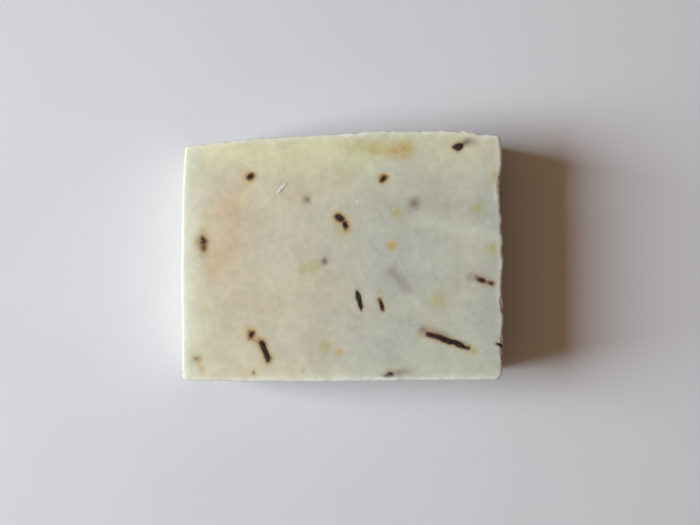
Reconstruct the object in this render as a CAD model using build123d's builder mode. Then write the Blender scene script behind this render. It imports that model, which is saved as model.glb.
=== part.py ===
"""Bar of loaf-cut handmade soap with pieces of dried herb set in its faces.

Millimetres. +X runs along the bar, +Y points to the side that was the open top of the loaf, and
+Z is up. The origin is the middle of the underside.
"""

from build123d import *
import os
from dataclasses import dataclass
from math import sqrt

# Size of the bar, over its highest points.
bar_length = 83.0
bar_width = 65.0
bar_thickness = 26.0

# Rounding along the rims of the two cut faces.
cut_edge_radius = 0.9

# Upright corners: how far each stands back from the full length and width, and its rounding.
corner_setback = {
    "base_left": (0.2, 0.25),
    "base_right": (0.1, 0.4),
    "poured_right": (0.9, 1.3),
    "poured_left": (1.0, 4.1),
}
corner_radius = {
    "base_left": 1.6,
    "base_right": 2.4,
    "poured_right": 1.2,
    "poured_left": 1.5,
}

# The sides between the corners are wavy: (place along the side as a share of half its length, how
# far the soap stands back there from the bar's full size), anticlockwise from the base.
base_side = ((-0.5, 0.0), (0.0, 0.1), (0.5, 0.3))
liner_side = (
    (-0.6, 0.0),
    (-0.42, 0.05),
    (-0.24, 0.55),
    (-0.1, 0.05),
    (0.1, 0.05),
    (0.3, 0.3),
    (0.47, 0.9),
    (0.63, 0.75),
    (0.74, 0.3),
    (0.85, 0.4),
)
poured_side = (
    (0.86, 0.8),
    (0.77, 0.25),
    (0.63, 0.0),
    (0.48, 0.2),
    (0.33, 0.05),
    (0.18, 0.2),
    (0.0, 0.8),
    (-0.3, 1.5),
    (-0.6, 2.4),
    (-0.8, 3.2),
)
handled_side = ((0.6, 0.35), (0.2, 0.0), (-0.4, 0.0))

# Herb pieces have elliptical sections that shrink to a blunt tip at each end.
herb_flatness = 0.8  # thickness as a share of width
herb_fullness = 4  # power in the outline: 2 is an ellipse, more is closer to a rod
herb_tip = 0.12  # half-width at the very tip
pocket_gap = 0.04  # how far the drying herb has shrunk from the soap around it
section_places = (-1.0, -0.94, -0.78, -0.42, 0.0, 0.42, 0.78, 0.94, 1.0)


@dataclass(frozen=True)
class Herb:
    """A piece of dried herb that a face of the bar cuts through or shows.

    across and up place its middle on the face, as shares of half the face's size. heading turns
    it anticlockwise from the face's level direction, dip tips its far end into the soap, and sunk
    is the depth of its middle under the face. bow is how far its middle curves sideways. shift
    moves it in millimetres, for a piece that lies beside another.
    """

    name: str
    face: str
    across: float
    up: float
    heading: float
    length: float
    width: float
    dip: float = 0.0
    sunk: float = 0.3
    bow: float = 0.0
    shift: tuple = (0.0, 0.0)


herbs = (
    # Upper cut face.
    Herb("herb_needle_long", "top", 0.63, -0.67, 162, 12.6, 1.6, dip=2, sunk=0.5, bow=-0.35),
    Herb("herb_needle_upright", "top", 0.104, -0.351, -79, 5.3, 1.4),
    Herb("herb_needle_short", "top", 0.24, -0.386, -73, 3.1, 1.2),
    Herb("herb_needle_bent", "top", -0.489, -0.75, -66, 5.9, 1.6, bow=0.4),
    Herb("herb_needle_right", "top", 0.865, -0.19, 160, 6.2, 1.5, dip=9, sunk=0.85),
    Herb("herb_needle_through_side", "top", 0.985, -0.71, -22, 2.6, 1.0),
    Herb("herb_needle_base_edge", "top", 0.31, -0.945, 12, 5.6, 1.9, dip=10, sunk=0.9),
    Herb("herb_leaf_left", "top", -0.862, 0.085, -76, 4.3, 2.2, dip=12, sunk=0.9),
    Herb("herb_bud_corner", "top", 0.74, 0.872, 17, 4.2, 2.1, dip=18, sunk=0.8),
    Herb("herb_bud_upper_left", "top", -0.573, 0.625, 60, 1.8, 1.6),
    Herb("herb_bud_upper_middle", "top", 0.251, 0.612, 50, 2.3, 1.5),
    Herb("herb_bud_centre", "top", -0.016, 0.297, -15, 2.3, 1.7),
    Herb("herb_tip_centre", "top", -0.016, 0.297, -52, 1.7, 1.2, shift=(1.35, -1.8)),
    Herb("herb_tip_lower_left", "top", -0.489, -0.75, 70, 1.6, 1.2, shift=(-3.2, 4.2)),
    Herb("herb_speck_left_corner", "top", -0.904, -0.812, 30, 1.4, 1.2, sunk=0.4),
    Herb("herb_speck_base", "top", -0.552, -0.935, 80, 1.5, 1.3, sunk=0.4),
    Herb("herb_speck_right", "top", 0.975, 0.62, -60, 1.2, 0.9),
    # Under cut face.
    Herb("herb_under_needle_1", "under", -0.52, 0.44, 35, 9.0, 1.5, dip=2, sunk=0.4, bow=0.3),
    Herb("herb_under_needle_2", "under", 0.37, 0.18, -58, 6.4, 1.4),
    Herb("herb_under_needle_3", "under", 0.71, -0.55, 12, 4.6, 1.3, dip=6, sunk=0.5),
    Herb("herb_under_needle_4", "under", -0.18, -0.62, 118, 5.4, 1.5, bow=-0.3),
    Herb("herb_under_bud_1", "under", 0.08, 0.66, 40, 2.4, 1.8),
    Herb("herb_under_bud_2", "under", -0.74, -0.3, 75, 2.0, 1.6),
    Herb("herb_under_bud_3", "under", 0.6, 0.72, -20, 1.7, 1.4),
    Herb("herb_under_speck_1", "under", -0.33, 0.02, 10, 1.5, 1.2),
    # Sides, where most of the herb is skinned over with soap.
    Herb("herb_poured_seed", "poured", -0.92, 0.82, 80, 1.5, 1.2, sunk=0.1),
    Herb("herb_poured_needle", "poured", 0.28, -0.2, 24, 6.0, 1.4, dip=4, sunk=0.4),
    Herb("herb_poured_bud", "poured", -0.42, 0.25, 60, 2.1, 1.7),
    Herb("herb_base_needle", "base", 0.34, 0.1, -32, 5.0, 1.3, sunk=0.35),
    Herb("herb_base_bud", "base", -0.56, -0.3, 20, 1.9, 1.6),
    Herb("herb_liner_needle", "liner", -0.3, -0.1, 55, 4.4, 1.3, sunk=0.35),
    Herb("herb_handled_bud", "handled", 0.38, 0.12, -35, 2.2, 1.6),
)

half_length = bar_length / 2
half_width = bar_width / 2
half_thickness = bar_thickness / 2

# Each face: its middle, the direction that reads as level on it, and its outward direction.
face_planes = {
    "top": Plane(origin=(0, 0, bar_thickness), x_dir=(1, 0, 0), z_dir=(0, 0, 1)),
    "under": Plane(origin=(0, 0, 0), x_dir=(1, 0, 0), z_dir=(0, 0, -1)),
    "poured": Plane(origin=(0, half_width, half_thickness), x_dir=(-1, 0, 0), z_dir=(0, 1, 0)),
    "base": Plane(origin=(0, -half_width, half_thickness), x_dir=(1, 0, 0), z_dir=(0, -1, 0)),
    "liner": Plane(origin=(half_length, 0, half_thickness), x_dir=(0, 1, 0), z_dir=(1, 0, 0)),
    "handled": Plane(origin=(-half_length, 0, half_thickness), x_dir=(0, -1, 0), z_dir=(-1, 0, 0)),
}
face_half_sizes = {
    "top": (half_length, half_width),
    "under": (half_length, half_width),
    "poured": (half_length, half_thickness),
    "base": (half_length, half_thickness),
    "liner": (half_width, half_thickness),
    "handled": (half_width, half_thickness),
}


def corner_point(name):
    """The sharp corner of that name, before it is rounded."""
    back_x, back_y = corner_setback[name]
    sign_x = 1 if name.endswith("right") else -1
    sign_y = 1 if name.startswith("poured") else -1
    return (sign_x * (half_length - back_x), sign_y * (half_width - back_y))


def lengthwise_side(side, sign):
    """Points of a side that runs along X, at positive or negative Y."""
    return [(share * half_length, sign * (half_width - back)) for share, back in side]


def crosswise_side(side, sign):
    """Points of a side that runs along Y, at positive or negative X."""
    return [(sign * (half_length - back), share * half_width) for share, back in side]


# The bar before any herb pocket is cut.
base_left = corner_point("base_left")
base_right = corner_point("base_right")
poured_right = corner_point("poured_right")
poured_left = corner_point("poured_left")

with BuildPart() as blank:
    with BuildSketch(Plane.XY) as outline:
        with BuildLine() as rim:
            Spline(base_left, *lengthwise_side(base_side, -1), base_right)
            Spline(base_right, *crosswise_side(liner_side, 1), poured_right)
            Spline(poured_right, *lengthwise_side(poured_side, 1), poured_left)
            Spline(poured_left, *crosswise_side(handled_side, -1), base_left)
        make_face()
    extrude(amount=bar_thickness)
    uprights = blank.edges().filter_by(Axis.Z)
    for corner, radius in corner_radius.items():
        x, y = corner_point(corner)
        upright = uprights.sort_by_distance((x, y, half_thickness))[0]
        fillet(upright, radius=radius)
    rims = blank.faces().filter_by(Axis.Z).edges()
    fillet(rims, radius=cut_edge_radius)


# The wavy line of each side, with the sign that turns a place across its face into a share of it.
side_lines = {
    "base": (base_side, 1),
    "liner": (liner_side, 1),
    "poured": (poured_side, -1),
    "handled": (handled_side, -1),
}


def face_setback(herb):
    """How far the soap stands back from the full size where a herb lies in a side."""
    if herb.face not in side_lines:
        return 0
    line, sign = side_lines[herb.face]
    place = sign * herb.across
    before, after = sorted(line, key=lambda point: abs(point[0] - place))[:2]
    run = (place - before[0]) / (after[0] - before[0])
    return before[1] + run * (after[1] - before[1])


def herb_plane(herb):
    """The plane that a herb lies in: X along the piece, Z out of the face."""
    face = face_planes[herb.face]
    half_across, half_up = face_half_sizes[herb.face]
    shift_across, shift_up = herb.shift
    depth = herb.sunk + face_setback(herb)
    middle = (herb.across * half_across + shift_across, herb.up * half_up + shift_up, -depth)
    placed = Plane(origin=face.from_local_coords(middle), x_dir=face.x_dir, z_dir=face.z_dir)
    return placed.rotated((0, 0, herb.heading)).rotated((0, herb.dip, 0))


def herb_form(herb, margin):
    """The whole closed form of a herb in its place, grown all round by a margin."""
    lie = herb_plane(herb)
    with BuildPart() as form:
        for place in section_places:
            share = sqrt(1 - abs(place) ** herb_fullness)
            half = herb_tip + (herb.width / 2 - herb_tip) * share + margin
            along = place * (herb.length / 2 + margin)
            aside = herb.bow * (1 - place**2)
            section = Plane(
                origin=lie.from_local_coords((along, aside, 0)), x_dir=lie.y_dir, z_dir=lie.x_dir
            )
            with BuildSketch(section):
                Ellipse(half, half * herb_flatness)
        loft()
    return form.part


# The soap, with a pocket for each herb.
with BuildPart() as soap_bar:
    add(blank.part)
    for herb in herbs:
        add(herb_form(herb, pocket_gap), mode=Mode.SUBTRACT)
soap_bar.part.label = "soap_bar"

# The herbs, each trimmed flush with the face that it shows in.
pieces = {"soap_bar": soap_bar.part}
for herb in herbs:
    with BuildPart() as piece:
        add(herb_form(herb, 0))
        add(blank.part, mode=Mode.INTERSECT)
    piece.part.label = herb.name
    pieces[herb.name] = piece.part

os.makedirs("parts", exist_ok=True)
for name, solid in pieces.items():
    export_step(solid, f"parts/{name}.step")
    print(f"{name}: {len(solid.solids())} solid, {solid.volume:.2f} mm3")
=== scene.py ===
"""Looks of a loaf-cut bar of handmade soap with dried herb in its faces.

Metres, with +Z up and +Y towards the side that was the open top of the loaf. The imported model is
the frame: the soap's outline and the place of every herb are read from it.
"""

import logging
import math
from dataclasses import dataclass
from enum import Enum

import bpy
import numpy as np
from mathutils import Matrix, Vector
from mathutils.bvhtree import BVHTree


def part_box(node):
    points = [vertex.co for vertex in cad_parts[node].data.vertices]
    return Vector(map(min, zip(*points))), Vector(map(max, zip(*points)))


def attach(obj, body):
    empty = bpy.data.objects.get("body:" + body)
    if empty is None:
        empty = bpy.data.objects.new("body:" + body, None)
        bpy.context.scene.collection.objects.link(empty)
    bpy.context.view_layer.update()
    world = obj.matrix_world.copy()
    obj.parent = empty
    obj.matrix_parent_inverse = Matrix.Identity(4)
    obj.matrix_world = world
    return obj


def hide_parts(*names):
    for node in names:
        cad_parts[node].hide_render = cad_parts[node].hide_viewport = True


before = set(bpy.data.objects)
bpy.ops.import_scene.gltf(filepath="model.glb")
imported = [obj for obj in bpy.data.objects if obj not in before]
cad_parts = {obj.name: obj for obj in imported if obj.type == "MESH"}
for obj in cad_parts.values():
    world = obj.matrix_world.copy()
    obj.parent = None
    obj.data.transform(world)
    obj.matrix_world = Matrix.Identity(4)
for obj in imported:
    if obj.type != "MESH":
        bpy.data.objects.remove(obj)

log = logging.getLogger("soap")

MM = 0.001
BODY = "root"
SOAP_NODE = "soap_bar"

Colour = tuple[float, float, float]


# ---------------------------------------------------------------------------------------------
# Small helpers
# ---------------------------------------------------------------------------------------------


@dataclass(frozen=True)
class Lumps:
    """Smooth random unevenness whose bumps are about one size apart.

    Attributes:
        seed: Picks the pattern.
        size: Distance between bumps, in metres, along X, Y and Z.
    """

    seed: int
    size: tuple[float, float, float]

    def at(self, points: np.ndarray) -> np.ndarray:
        """The unevenness at some points.

        Args:
            points: Places, one in each row.

        Returns:
            A value from -1 to 1 for each place.
        """
        cells = 48
        random = np.random.default_rng(self.seed)
        table = random.uniform(-1, 1, (cells, cells, cells))
        place = points / np.array(self.size) + random.uniform(0, cells, 3)
        base = np.floor(place).astype(int)
        part = place - base
        part = part * part * (3 - 2 * part)
        total = np.zeros(len(points))
        for corner in np.ndindex(2, 2, 2):
            at = (base + corner) % cells
            share = np.prod(np.where(corner, part, 1 - part), axis=1)
            total += share * table[at[:, 0], at[:, 1], at[:, 2]]
        return total


def even_lumps(seed: int, size: float) -> Lumps:
    """Unevenness of one size in every direction."""
    return Lumps(seed, (size, size, size))


def hills(points: np.ndarray, lumps: Lumps) -> np.ndarray:
    """The unevenness at some points, from 0 to 1."""
    return 0.5 + 0.5 * lumps.at(points)


def smooth_step(low: float, high: float, value: np.ndarray) -> np.ndarray:
    """A soft rise from 0 at low to 1 at high."""
    share = np.clip((value - low) / (high - low), 0, 1)
    return share * share * (3 - 2 * share)


def distance_to_line(points: np.ndarray, start: np.ndarray, end: np.ndarray) -> np.ndarray:
    """How far each point lies from the straight line between two places.

    Args:
        points: Places, one in each row.
        start: One end of the line.
        end: Its other end.

    Returns:
        The distance for each place.
    """
    run = end - start
    share = np.clip((points - start) @ run / max(run @ run, 1e-18), 0, 1)
    return np.linalg.norm(points - start - share[:, None] * run, axis=1)


def plain_object(name: str, mesh: bpy.types.Mesh) -> bpy.types.Object:
    """A new object that shows a mesh, linked to the scene."""
    made = bpy.data.objects.new(name, mesh)
    bpy.context.scene.collection.objects.link(made)
    return made


def baked_object(name: str, source: bpy.types.Object) -> bpy.types.Object:
    """A plain object with the shape that another one has after its modifiers.

    Args:
        name: The new object's name.
        source: The object to take the shape from. It is removed.

    Returns:
        The plain object.
    """
    graph = bpy.context.evaluated_depsgraph_get()
    mesh = bpy.data.meshes.new_from_object(source.evaluated_get(graph))
    bpy.data.objects.remove(source)
    mesh.name = name
    return plain_object(name, mesh)


def places(mesh: bpy.types.Mesh) -> np.ndarray:
    """The mesh's vertex places.

    Args:
        mesh: The mesh.

    Returns:
        A place in each row, in metres.
    """
    flat = np.empty(len(mesh.vertices) * 3)
    mesh.vertices.foreach_get("co", flat)
    return flat.reshape(-1, 3)


def set_places(mesh: bpy.types.Mesh, points: np.ndarray) -> None:
    """Moves the mesh's vertices to the given places."""
    mesh.vertices.foreach_set("co", points.ravel())
    mesh.update()


def write_mask(mesh: bpy.types.Mesh, name: str, values: np.ndarray) -> None:
    """Stores one number for each vertex, for a material or a node tree to read."""
    layer = mesh.attributes.new(name, "FLOAT", "POINT")
    layer.data.foreach_set("value", values.astype(np.float32))


def shade_smooth(mesh: bpy.types.Mesh) -> None:
    """Makes every face of the mesh smooth."""
    mesh.polygons.foreach_set("use_smooth", [True] * len(mesh.polygons))


def surface_of(mesh: bpy.types.Mesh) -> BVHTree:
    """A tree that finds the nearest place on the mesh."""
    corners = [tuple(face.vertices) for face in mesh.polygons]
    return BVHTree.FromPolygons([tuple(point) for point in places(mesh)], corners)


# ---------------------------------------------------------------------------------------------
# Node trees
# ---------------------------------------------------------------------------------------------


class Tree:
    """A short way to write a node tree."""

    def __init__(self, tree: bpy.types.NodeTree) -> None:
        """Wraps a node tree."""
        self.tree = tree

    def add(self, kind: str, inputs: dict | None = None, **settings: object) -> bpy.types.Node:
        """Adds a node.

        Args:
            kind: The node's type.
            inputs: What each socket gets: another node's socket, or a plain value.
            settings: The node's own settings.

        Returns:
            The new node.
        """
        node = self.tree.nodes.new(kind)
        for name, value in settings.items():
            setattr(node, name, value)
        for socket, value in (inputs or {}).items():
            self.feed(node.inputs[socket], value)
        return node

    def feed(self, socket: bpy.types.NodeSocket, value: object) -> None:
        """Gives a socket its value.

        Args:
            socket: The socket.
            value: Another node's socket to link to it, or a plain value.
        """
        if isinstance(value, bpy.types.NodeSocket):
            self.tree.links.new(value, socket)
        else:
            socket.default_value = value

    def math(self, operation: str, *values: object, clamp: bool = False) -> bpy.types.NodeSocket:
        """Does a sum on numbers.

        Args:
            operation: The kind of sum.
            values: Sockets or plain numbers.
            clamp: Whether the result is held between 0 and 1.

        Returns:
            The result.
        """
        node = self.add("ShaderNodeMath", operation=operation, use_clamp=clamp)
        for socket, value in zip(node.inputs, values):
            self.feed(socket, value)
        return node.outputs[0]

    def vector_math(self, operation: str, *values: object) -> bpy.types.NodeSocket:
        """Does a sum on vectors.

        Args:
            operation: The kind of sum.
            values: Sockets or plain vectors.

        Returns:
            The vector that the sum gives.
        """
        node = self.add("ShaderNodeVectorMath", operation=operation)
        for socket, value in zip(node.inputs, values):
            self.feed(socket, value)
        return node.outputs["Vector"]

    def scaled(self, vector: bpy.types.NodeSocket, scale: object) -> bpy.types.NodeSocket:
        """The vector, made longer or shorter."""
        node = self.add("ShaderNodeVectorMath", {0: vector, "Scale": scale}, operation="SCALE")
        return node.outputs["Vector"]

    def spread(
        self, value: object, low: object, high: object, out_low: float = 0.0, out_high: float = 1.0
    ) -> bpy.types.NodeSocket:
        """Moves a value from one range to another, with soft ends.

        Args:
            value: The value.
            low: The value that gives out_low. All under it give the same.
            high: The value that gives out_high. All over it give the same.
            out_low: The result at low.
            out_high: The result at high.

        Returns:
            The result.
        """
        node = self.add(
            "ShaderNodeMapRange",
            {"Value": value, "From Min": low, "From Max": high, "To Min": out_low, "To Max": out_high},
            interpolation_type="SMOOTHSTEP",
        )
        return node.outputs["Result"]

    def blend(self, share: object, first: object, second: object) -> bpy.types.NodeSocket:
        """Mixes two colours.

        Args:
            share: How much of the second colour there is, from 0 to 1.
            first: The first colour, or its socket.
            second: The second colour, or its socket.

        Returns:
            The colour between them.
        """
        node = self.add("ShaderNodeMix", data_type="RGBA")
        sockets = [s for s in node.inputs if s.enabled]
        self.feed(sockets[0], share)
        self.feed(sockets[1], solid(first) if isinstance(first, tuple) else first)
        self.feed(sockets[2], solid(second) if isinstance(second, tuple) else second)
        return next(s for s in node.outputs if s.enabled)

    def stored(self, name: str, data_type: str) -> bpy.types.NodeSocket:
        """What the geometry stores under a name."""
        node = self.add("GeometryNodeInputNamedAttribute", {"Name": name}, data_type=data_type)
        return node.outputs["Attribute"]

    def store(
        self, geometry: bpy.types.NodeSocket, name: str, data_type: str, value: bpy.types.NodeSocket
    ) -> bpy.types.NodeSocket:
        """Stores a value on a geometry's points.

        Args:
            geometry: The geometry.
            name: The name to store it under.
            data_type: The value's type.
            value: The value.

        Returns:
            The geometry that holds the value.
        """
        node = self.add(
            "GeometryNodeStoreNamedAttribute",
            {"Geometry": geometry, "Name": name, "Value": value},
            data_type=data_type,
            domain="POINT",
        )
        return node.outputs["Geometry"]

    def random(self, low: object, high: object, seed: object) -> bpy.types.NodeSocket:
        """A random number between two others, for each point."""
        node = self.add("FunctionNodeRandomValue", {2: low, 3: high, "Seed": seed}, data_type="FLOAT")
        return node.outputs[1]


def solid(colour: Colour) -> tuple[float, float, float, float]:
    """The colour with full cover."""
    return (*colour, 1.0)


def new_group(
    name: str, kind: str, inputs: dict[str, tuple], outputs: dict[str, str]
) -> tuple[Tree, bpy.types.NodeOutputs, bpy.types.NodeInputs]:
    """A node group with named sockets.

    Args:
        name: The group's name.
        kind: The type of its tree.
        inputs: Socket types with their usual values, by name.
        outputs: Socket types by name.

    Returns:
        The tree, the sockets that it is given and the sockets of its results.
    """
    tree = bpy.data.node_groups.new(name, kind)
    for socket_name, socket_type in outputs.items():
        tree.interface.new_socket(socket_name, in_out="OUTPUT", socket_type=socket_type)
    for socket_name, (socket_type, usual) in inputs.items():
        made = tree.interface.new_socket(socket_name, in_out="INPUT", socket_type=socket_type)
        if usual is not None:
            made.default_value = usual
    start = tree.nodes.new("NodeGroupInput")
    end = tree.nodes.new("NodeGroupOutput")
    return Tree(tree), start.outputs, end.inputs


def mottle_group() -> bpy.types.NodeTree:
    """Cloudy unevenness of one size, from 0 to 1, that any finish can use.

    Returns:
        The shader group.
    """
    tree, given, result = new_group(
        "mottle",
        "ShaderNodeTree",
        {
            "Place": ("NodeSocketVector", None),
            "Size": ("NodeSocketFloat", 0.01),
            "Detail": ("NodeSocketFloat", 2.0),
            "Softness": ("NodeSocketFloat", 0.2),
        },
        {"Amount": "NodeSocketFloat"},
    )
    scale = tree.math("DIVIDE", 1.0, given["Size"])
    noise = tree.add(
        "ShaderNodeTexNoise", {"Vector": given["Place"], "Scale": scale, "Detail": given["Detail"]}
    )
    low = tree.math("SUBTRACT", 0.5, given["Softness"])
    high = tree.math("ADD", 0.5, given["Softness"])
    tree.feed(result["Amount"], tree.spread(noise.outputs["Fac"], low, high))
    return tree.tree


def specks_group() -> bpy.types.NodeTree:
    """Scattered small round specks, of which only some show.

    Returns:
        The shader group.
    """
    tree, given, result = new_group(
        "specks",
        "ShaderNodeTree",
        {
            "Place": ("NodeSocketVector", None),
            "Spacing": ("NodeSocketFloat", 0.002),
            "Width": ("NodeSocketFloat", 0.15),
            "Share": ("NodeSocketFloat", 0.3),
        },
        {"Amount": "NodeSocketFloat"},
    )
    scale = tree.math("DIVIDE", 1.0, given["Spacing"])
    cells = tree.add("ShaderNodeTexVoronoi", {"Vector": given["Place"], "Scale": scale})
    core = tree.math("MULTIPLY", given["Width"], 0.4)
    near = tree.spread(cells.outputs["Distance"], core, given["Width"], 1.0, 0.0)
    pick = tree.add("ShaderNodeSeparateColor", {"Color": cells.outputs["Color"]})
    chosen = tree.math("LESS_THAN", pick.outputs["Red"], given["Share"])
    strength = tree.math("MULTIPLY", near, chosen)
    tree.feed(result["Amount"], tree.math("MULTIPLY", strength, pick.outputs["Green"]))
    return tree.tree


class SharedEffects:
    """The shader groups that more than one finish uses, each built once."""

    def __init__(self) -> None:
        """Builds the groups."""
        self.mottle = mottle_group()
        self.specks = specks_group()


class Paint(Tree):
    """A material while it is made: its node tree, with the shared effects at hand."""

    def __init__(self, name: str, effects: SharedEffects) -> None:
        """Starts the material, with a Principled surface.

        Args:
            name: The material's name.
            effects: The shared shader groups.
        """
        self.material = bpy.data.materials.new(name)
        self.material.use_nodes = True
        super().__init__(self.material.node_tree)
        self.effects = effects
        self.shader = next(n for n in self.tree.nodes if n.type == "BSDF_PRINCIPLED")
        self.place = self.add("ShaderNodeTexCoord").outputs["Object"]

    def mask(self, name: str) -> bpy.types.NodeSocket:
        """A number that the mesh stores for each vertex."""
        return self.add("ShaderNodeAttribute", attribute_name=name).outputs["Fac"]

    def mottle(self, size: float, detail: float, softness: float) -> bpy.types.NodeSocket:
        """Cloudy unevenness.

        Args:
            size: How far apart the clouds are, in metres.
            detail: How much finer unevenness they hold.
            softness: Half the width of their edges: less is crisper.

        Returns:
            A socket from 0 to 1.
        """
        values = {"Place": self.place, "Size": size, "Detail": detail, "Softness": softness}
        return self.add("ShaderNodeGroup", values, node_tree=self.effects.mottle).outputs["Amount"]

    def specks(self, spacing: float, width: float, share: float) -> bpy.types.NodeSocket:
        """Scattered specks.

        Args:
            spacing: How far apart the specks are, in metres.
            width: Their radius, as a share of the spacing.
            share: How many of them show.

        Returns:
            A socket from 0 to 1.
        """
        values = {"Place": self.place, "Spacing": spacing, "Width": width, "Share": share}
        return self.add("ShaderNodeGroup", values, node_tree=self.effects.specks).outputs["Amount"]

    def bump(self, height: object, strength: float, distance: float) -> bpy.types.NodeSocket:
        """The normal that a height gives the surface."""
        values = {"Height": height, "Strength": strength, "Distance": distance}
        return self.add("ShaderNodeBump", values).outputs["Normal"]

    def dressed(self, values: dict[str, object]) -> bpy.types.Material:
        """Gives the surface its values.

        Args:
            values: A socket or a plain value for each of the surface's own sockets.

        Returns:
            The finished material.
        """
        for name, value in values.items():
            self.feed(self.shader.inputs[name], value)
        return self.material


# ---------------------------------------------------------------------------------------------
# Finishes
# ---------------------------------------------------------------------------------------------


@dataclass(frozen=True)
class SoapFinish:
    """Cured cold-process soap: pale, waxy and a little see-through, stained by the herbs."""

    cream: Colour = (0.675, 0.635, 0.50)
    green_cream_in_painted_shade: Colour = (0.545, 0.575, 0.50)
    ripe: Colour = (1.15, 1.2, 1.03)
    tan: Colour = (0.655, 0.535, 0.365)
    bleached: Colour = (0.69, 0.735, 0.63)
    ash_and_rim_light: Colour = (0.84, 0.86, 0.81)
    amber: Colour = (0.60, 0.455, 0.18)
    rust: Colour = (0.36, 0.20, 0.095)
    brown: Colour = (0.09, 0.032, 0.016)
    olive: Colour = (0.51, 0.48, 0.22)
    herb_shadow: Colour = (0.35, 0.295, 0.265)
    brown_shadow: Colour = (0.20, 0.095, 0.05)
    deep_shadow: Colour = (0.03, 0.016, 0.015)
    drift_size: float = 22 * MM
    cloud_size: float = 9 * MM
    patch_size: float = 5 * MM
    fine_size: float = 1.9 * MM
    stain_patch_size: float = 1.1 * MM
    flake_size: float = 1.8 * MM
    small_speck_spacing: float = 1.4 * MM
    large_speck_spacing: float = 3.6 * MM
    speck_strength: float = 0.3
    see_through: float = 0.75
    scatter: tuple[float, float, float] = (1.0, 0.86, 0.62)
    scatter_depth: float = 2.2 * MM
    ior: float = 1.45
    roughness: float = 0.46
    dry_roughness: float = 0.22
    rubbed_size: float = 7 * MM
    wave_size: float = 3 * MM
    grain_size: float = 0.55 * MM
    pit_spacing: float = 1.9 * MM
    grain_strength: float = 0.8
    grain_height: float = 0.05 * MM

    def make(self, effects: SharedEffects) -> bpy.types.Material:
        """Builds the material.

        Args:
            effects: The shared shader groups.

        Returns:
            The material.
        """
        paint = Paint("soap", effects)
        colour = self.body_colour(paint)
        colour = self.stains(paint, colour)
        colour = self.dry_skin(paint, colour)
        return paint.dressed(
            {
                "Base Color": colour,
                "Roughness": self.gloss(paint),
                "Normal": self.grain(paint),
                "Subsurface Weight": self.see_through,
                "Subsurface Radius": self.scatter,
                "Subsurface Scale": self.scatter_depth,
                "IOR": self.ior,
            }
        )

    def body_colour(self, paint: Paint) -> bpy.types.NodeSocket:
        """The soap's colour: cream at the left, drifting to a greener and darker cream at the right. The
        greener tint is the soap's own; the darkening away from the window lamp is painted shade.

        Args:
            paint: The material.

        Returns:
            The colour.
        """
        drift = paint.spread(paint.mottle(self.drift_size, 2.0, 0.28), 0.0, 1.0, 0.75, 1.25)
        # Greener and darker towards the right: the greener tint is the soap's own, and the darkening is
        # painted shade away from the window lamp.
        green_and_painted_shade = paint.math("MULTIPLY", paint.mask("green_and_painted_shade"), drift, clamp=True)
        colour = paint.blend(green_and_painted_shade, self.cream, self.green_cream_in_painted_shade)
        patchy = paint.spread(paint.mottle(self.patch_size, 3.0, 0.3), 0.0, 1.0, 0.6, 1.1)
        ripe = paint.math("MULTIPLY", paint.mask(Tint.RIPE.value), patchy, clamp=True)
        colour = paint.blend(ripe, colour, paint.vector_math("MULTIPLY", colour, self.ripe))
        tanned = paint.math("MULTIPLY", paint.mask(Tint.TAN.value), patchy, clamp=True)
        colour = paint.blend(tanned, colour, self.tan)
        # The pale mask holds paler streaks, a painted glow at the lamp-side end and painted glints.
        colour = paint.blend(paint.mask(Tint.BLEACHED.value), colour, self.bleached)
        clouds = paint.spread(paint.mottle(self.cloud_size, 2.0, 0.3), 0.0, 1.0, 0.94, 1.04)
        fine = paint.spread(paint.mottle(self.fine_size, 3.0, 0.35), 0.0, 1.0, -0.05, 0.045)
        return paint.scaled(colour, paint.math("ADD", clouds, fine))

    def stains(self, paint: Paint, colour: bpy.types.NodeSocket) -> bpy.types.NodeSocket:
        """Lays the herbs' stains and shadows over the soap's colour.

        Args:
            paint: The material.
            colour: The colour so far.

        Returns:
            The stained colour.
        """
        mottle = paint.mottle(self.stain_patch_size, 3.0, 0.3)
        patchy = paint.spread(mottle, 0.0, 1.0, 0.75, 1.2)
        olive = paint.math("MULTIPLY", paint.mask(Tint.OLIVE.value), patchy, clamp=True)
        colour = paint.blend(olive, colour, self.olive)
        warm = paint.math("MULTIPLY", paint.mask(Tint.WARM.value), patchy)
        colour = paint.blend(paint.spread(warm, 0.0, 0.55, 0.0, 0.9), colour, self.amber)
        colour = paint.blend(paint.spread(warm, 0.4, 0.9), colour, self.rust)
        colour = paint.blend(paint.spread(warm, 0.8, 1.2), colour, self.brown)
        shadow = paint.mask(Tint.SHADOW.value)
        shade = paint.blend(paint.spread(warm, 0.15, 0.6), self.herb_shadow, self.brown_shadow)
        colour = paint.blend(paint.spread(shadow, 0.0, 0.75, 0.0, 0.95), colour, shade)
        return paint.blend(paint.spread(shadow, 0.5, 1.0), colour, self.deep_shadow)

    def dry_skin(self, paint: Paint, colour: bpy.types.NodeSocket) -> bpy.types.NodeSocket:
        """Whitens the rims, partly as dry skin and partly as painted light, and adds fine pale specks
        where no herb lies.

        Args:
            paint: The material.
            colour: The colour so far.

        Returns:
            The colour with its dry skin.
        """
        broken = paint.spread(paint.mottle(self.flake_size, 4.0, 0.22), 0.0, 1.0, 0.35, 1.1)
        # Rim whiteness: dry skin, made strong enough to serve as painted light on rims that the lamp
        # leaves in shade.
        rim = paint.math("MULTIPLY", paint.mask("dry"), broken, clamp=True)
        colour = paint.blend(rim, colour, self.ash_and_rim_light)
        small = paint.specks(self.small_speck_spacing, 0.24, 0.4)
        large = paint.math("MULTIPLY", paint.specks(self.large_speck_spacing, 0.16, 0.5), 1.3)
        clear = paint.spread(paint.mask(Tint.SHADOW.value), 0.15, 0.45, self.speck_strength, 0.0)
        specks = paint.math("MULTIPLY", paint.math("MAXIMUM", small, large), clear, clamp=True)
        return paint.blend(specks, colour, self.ash_and_rim_light)

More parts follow.
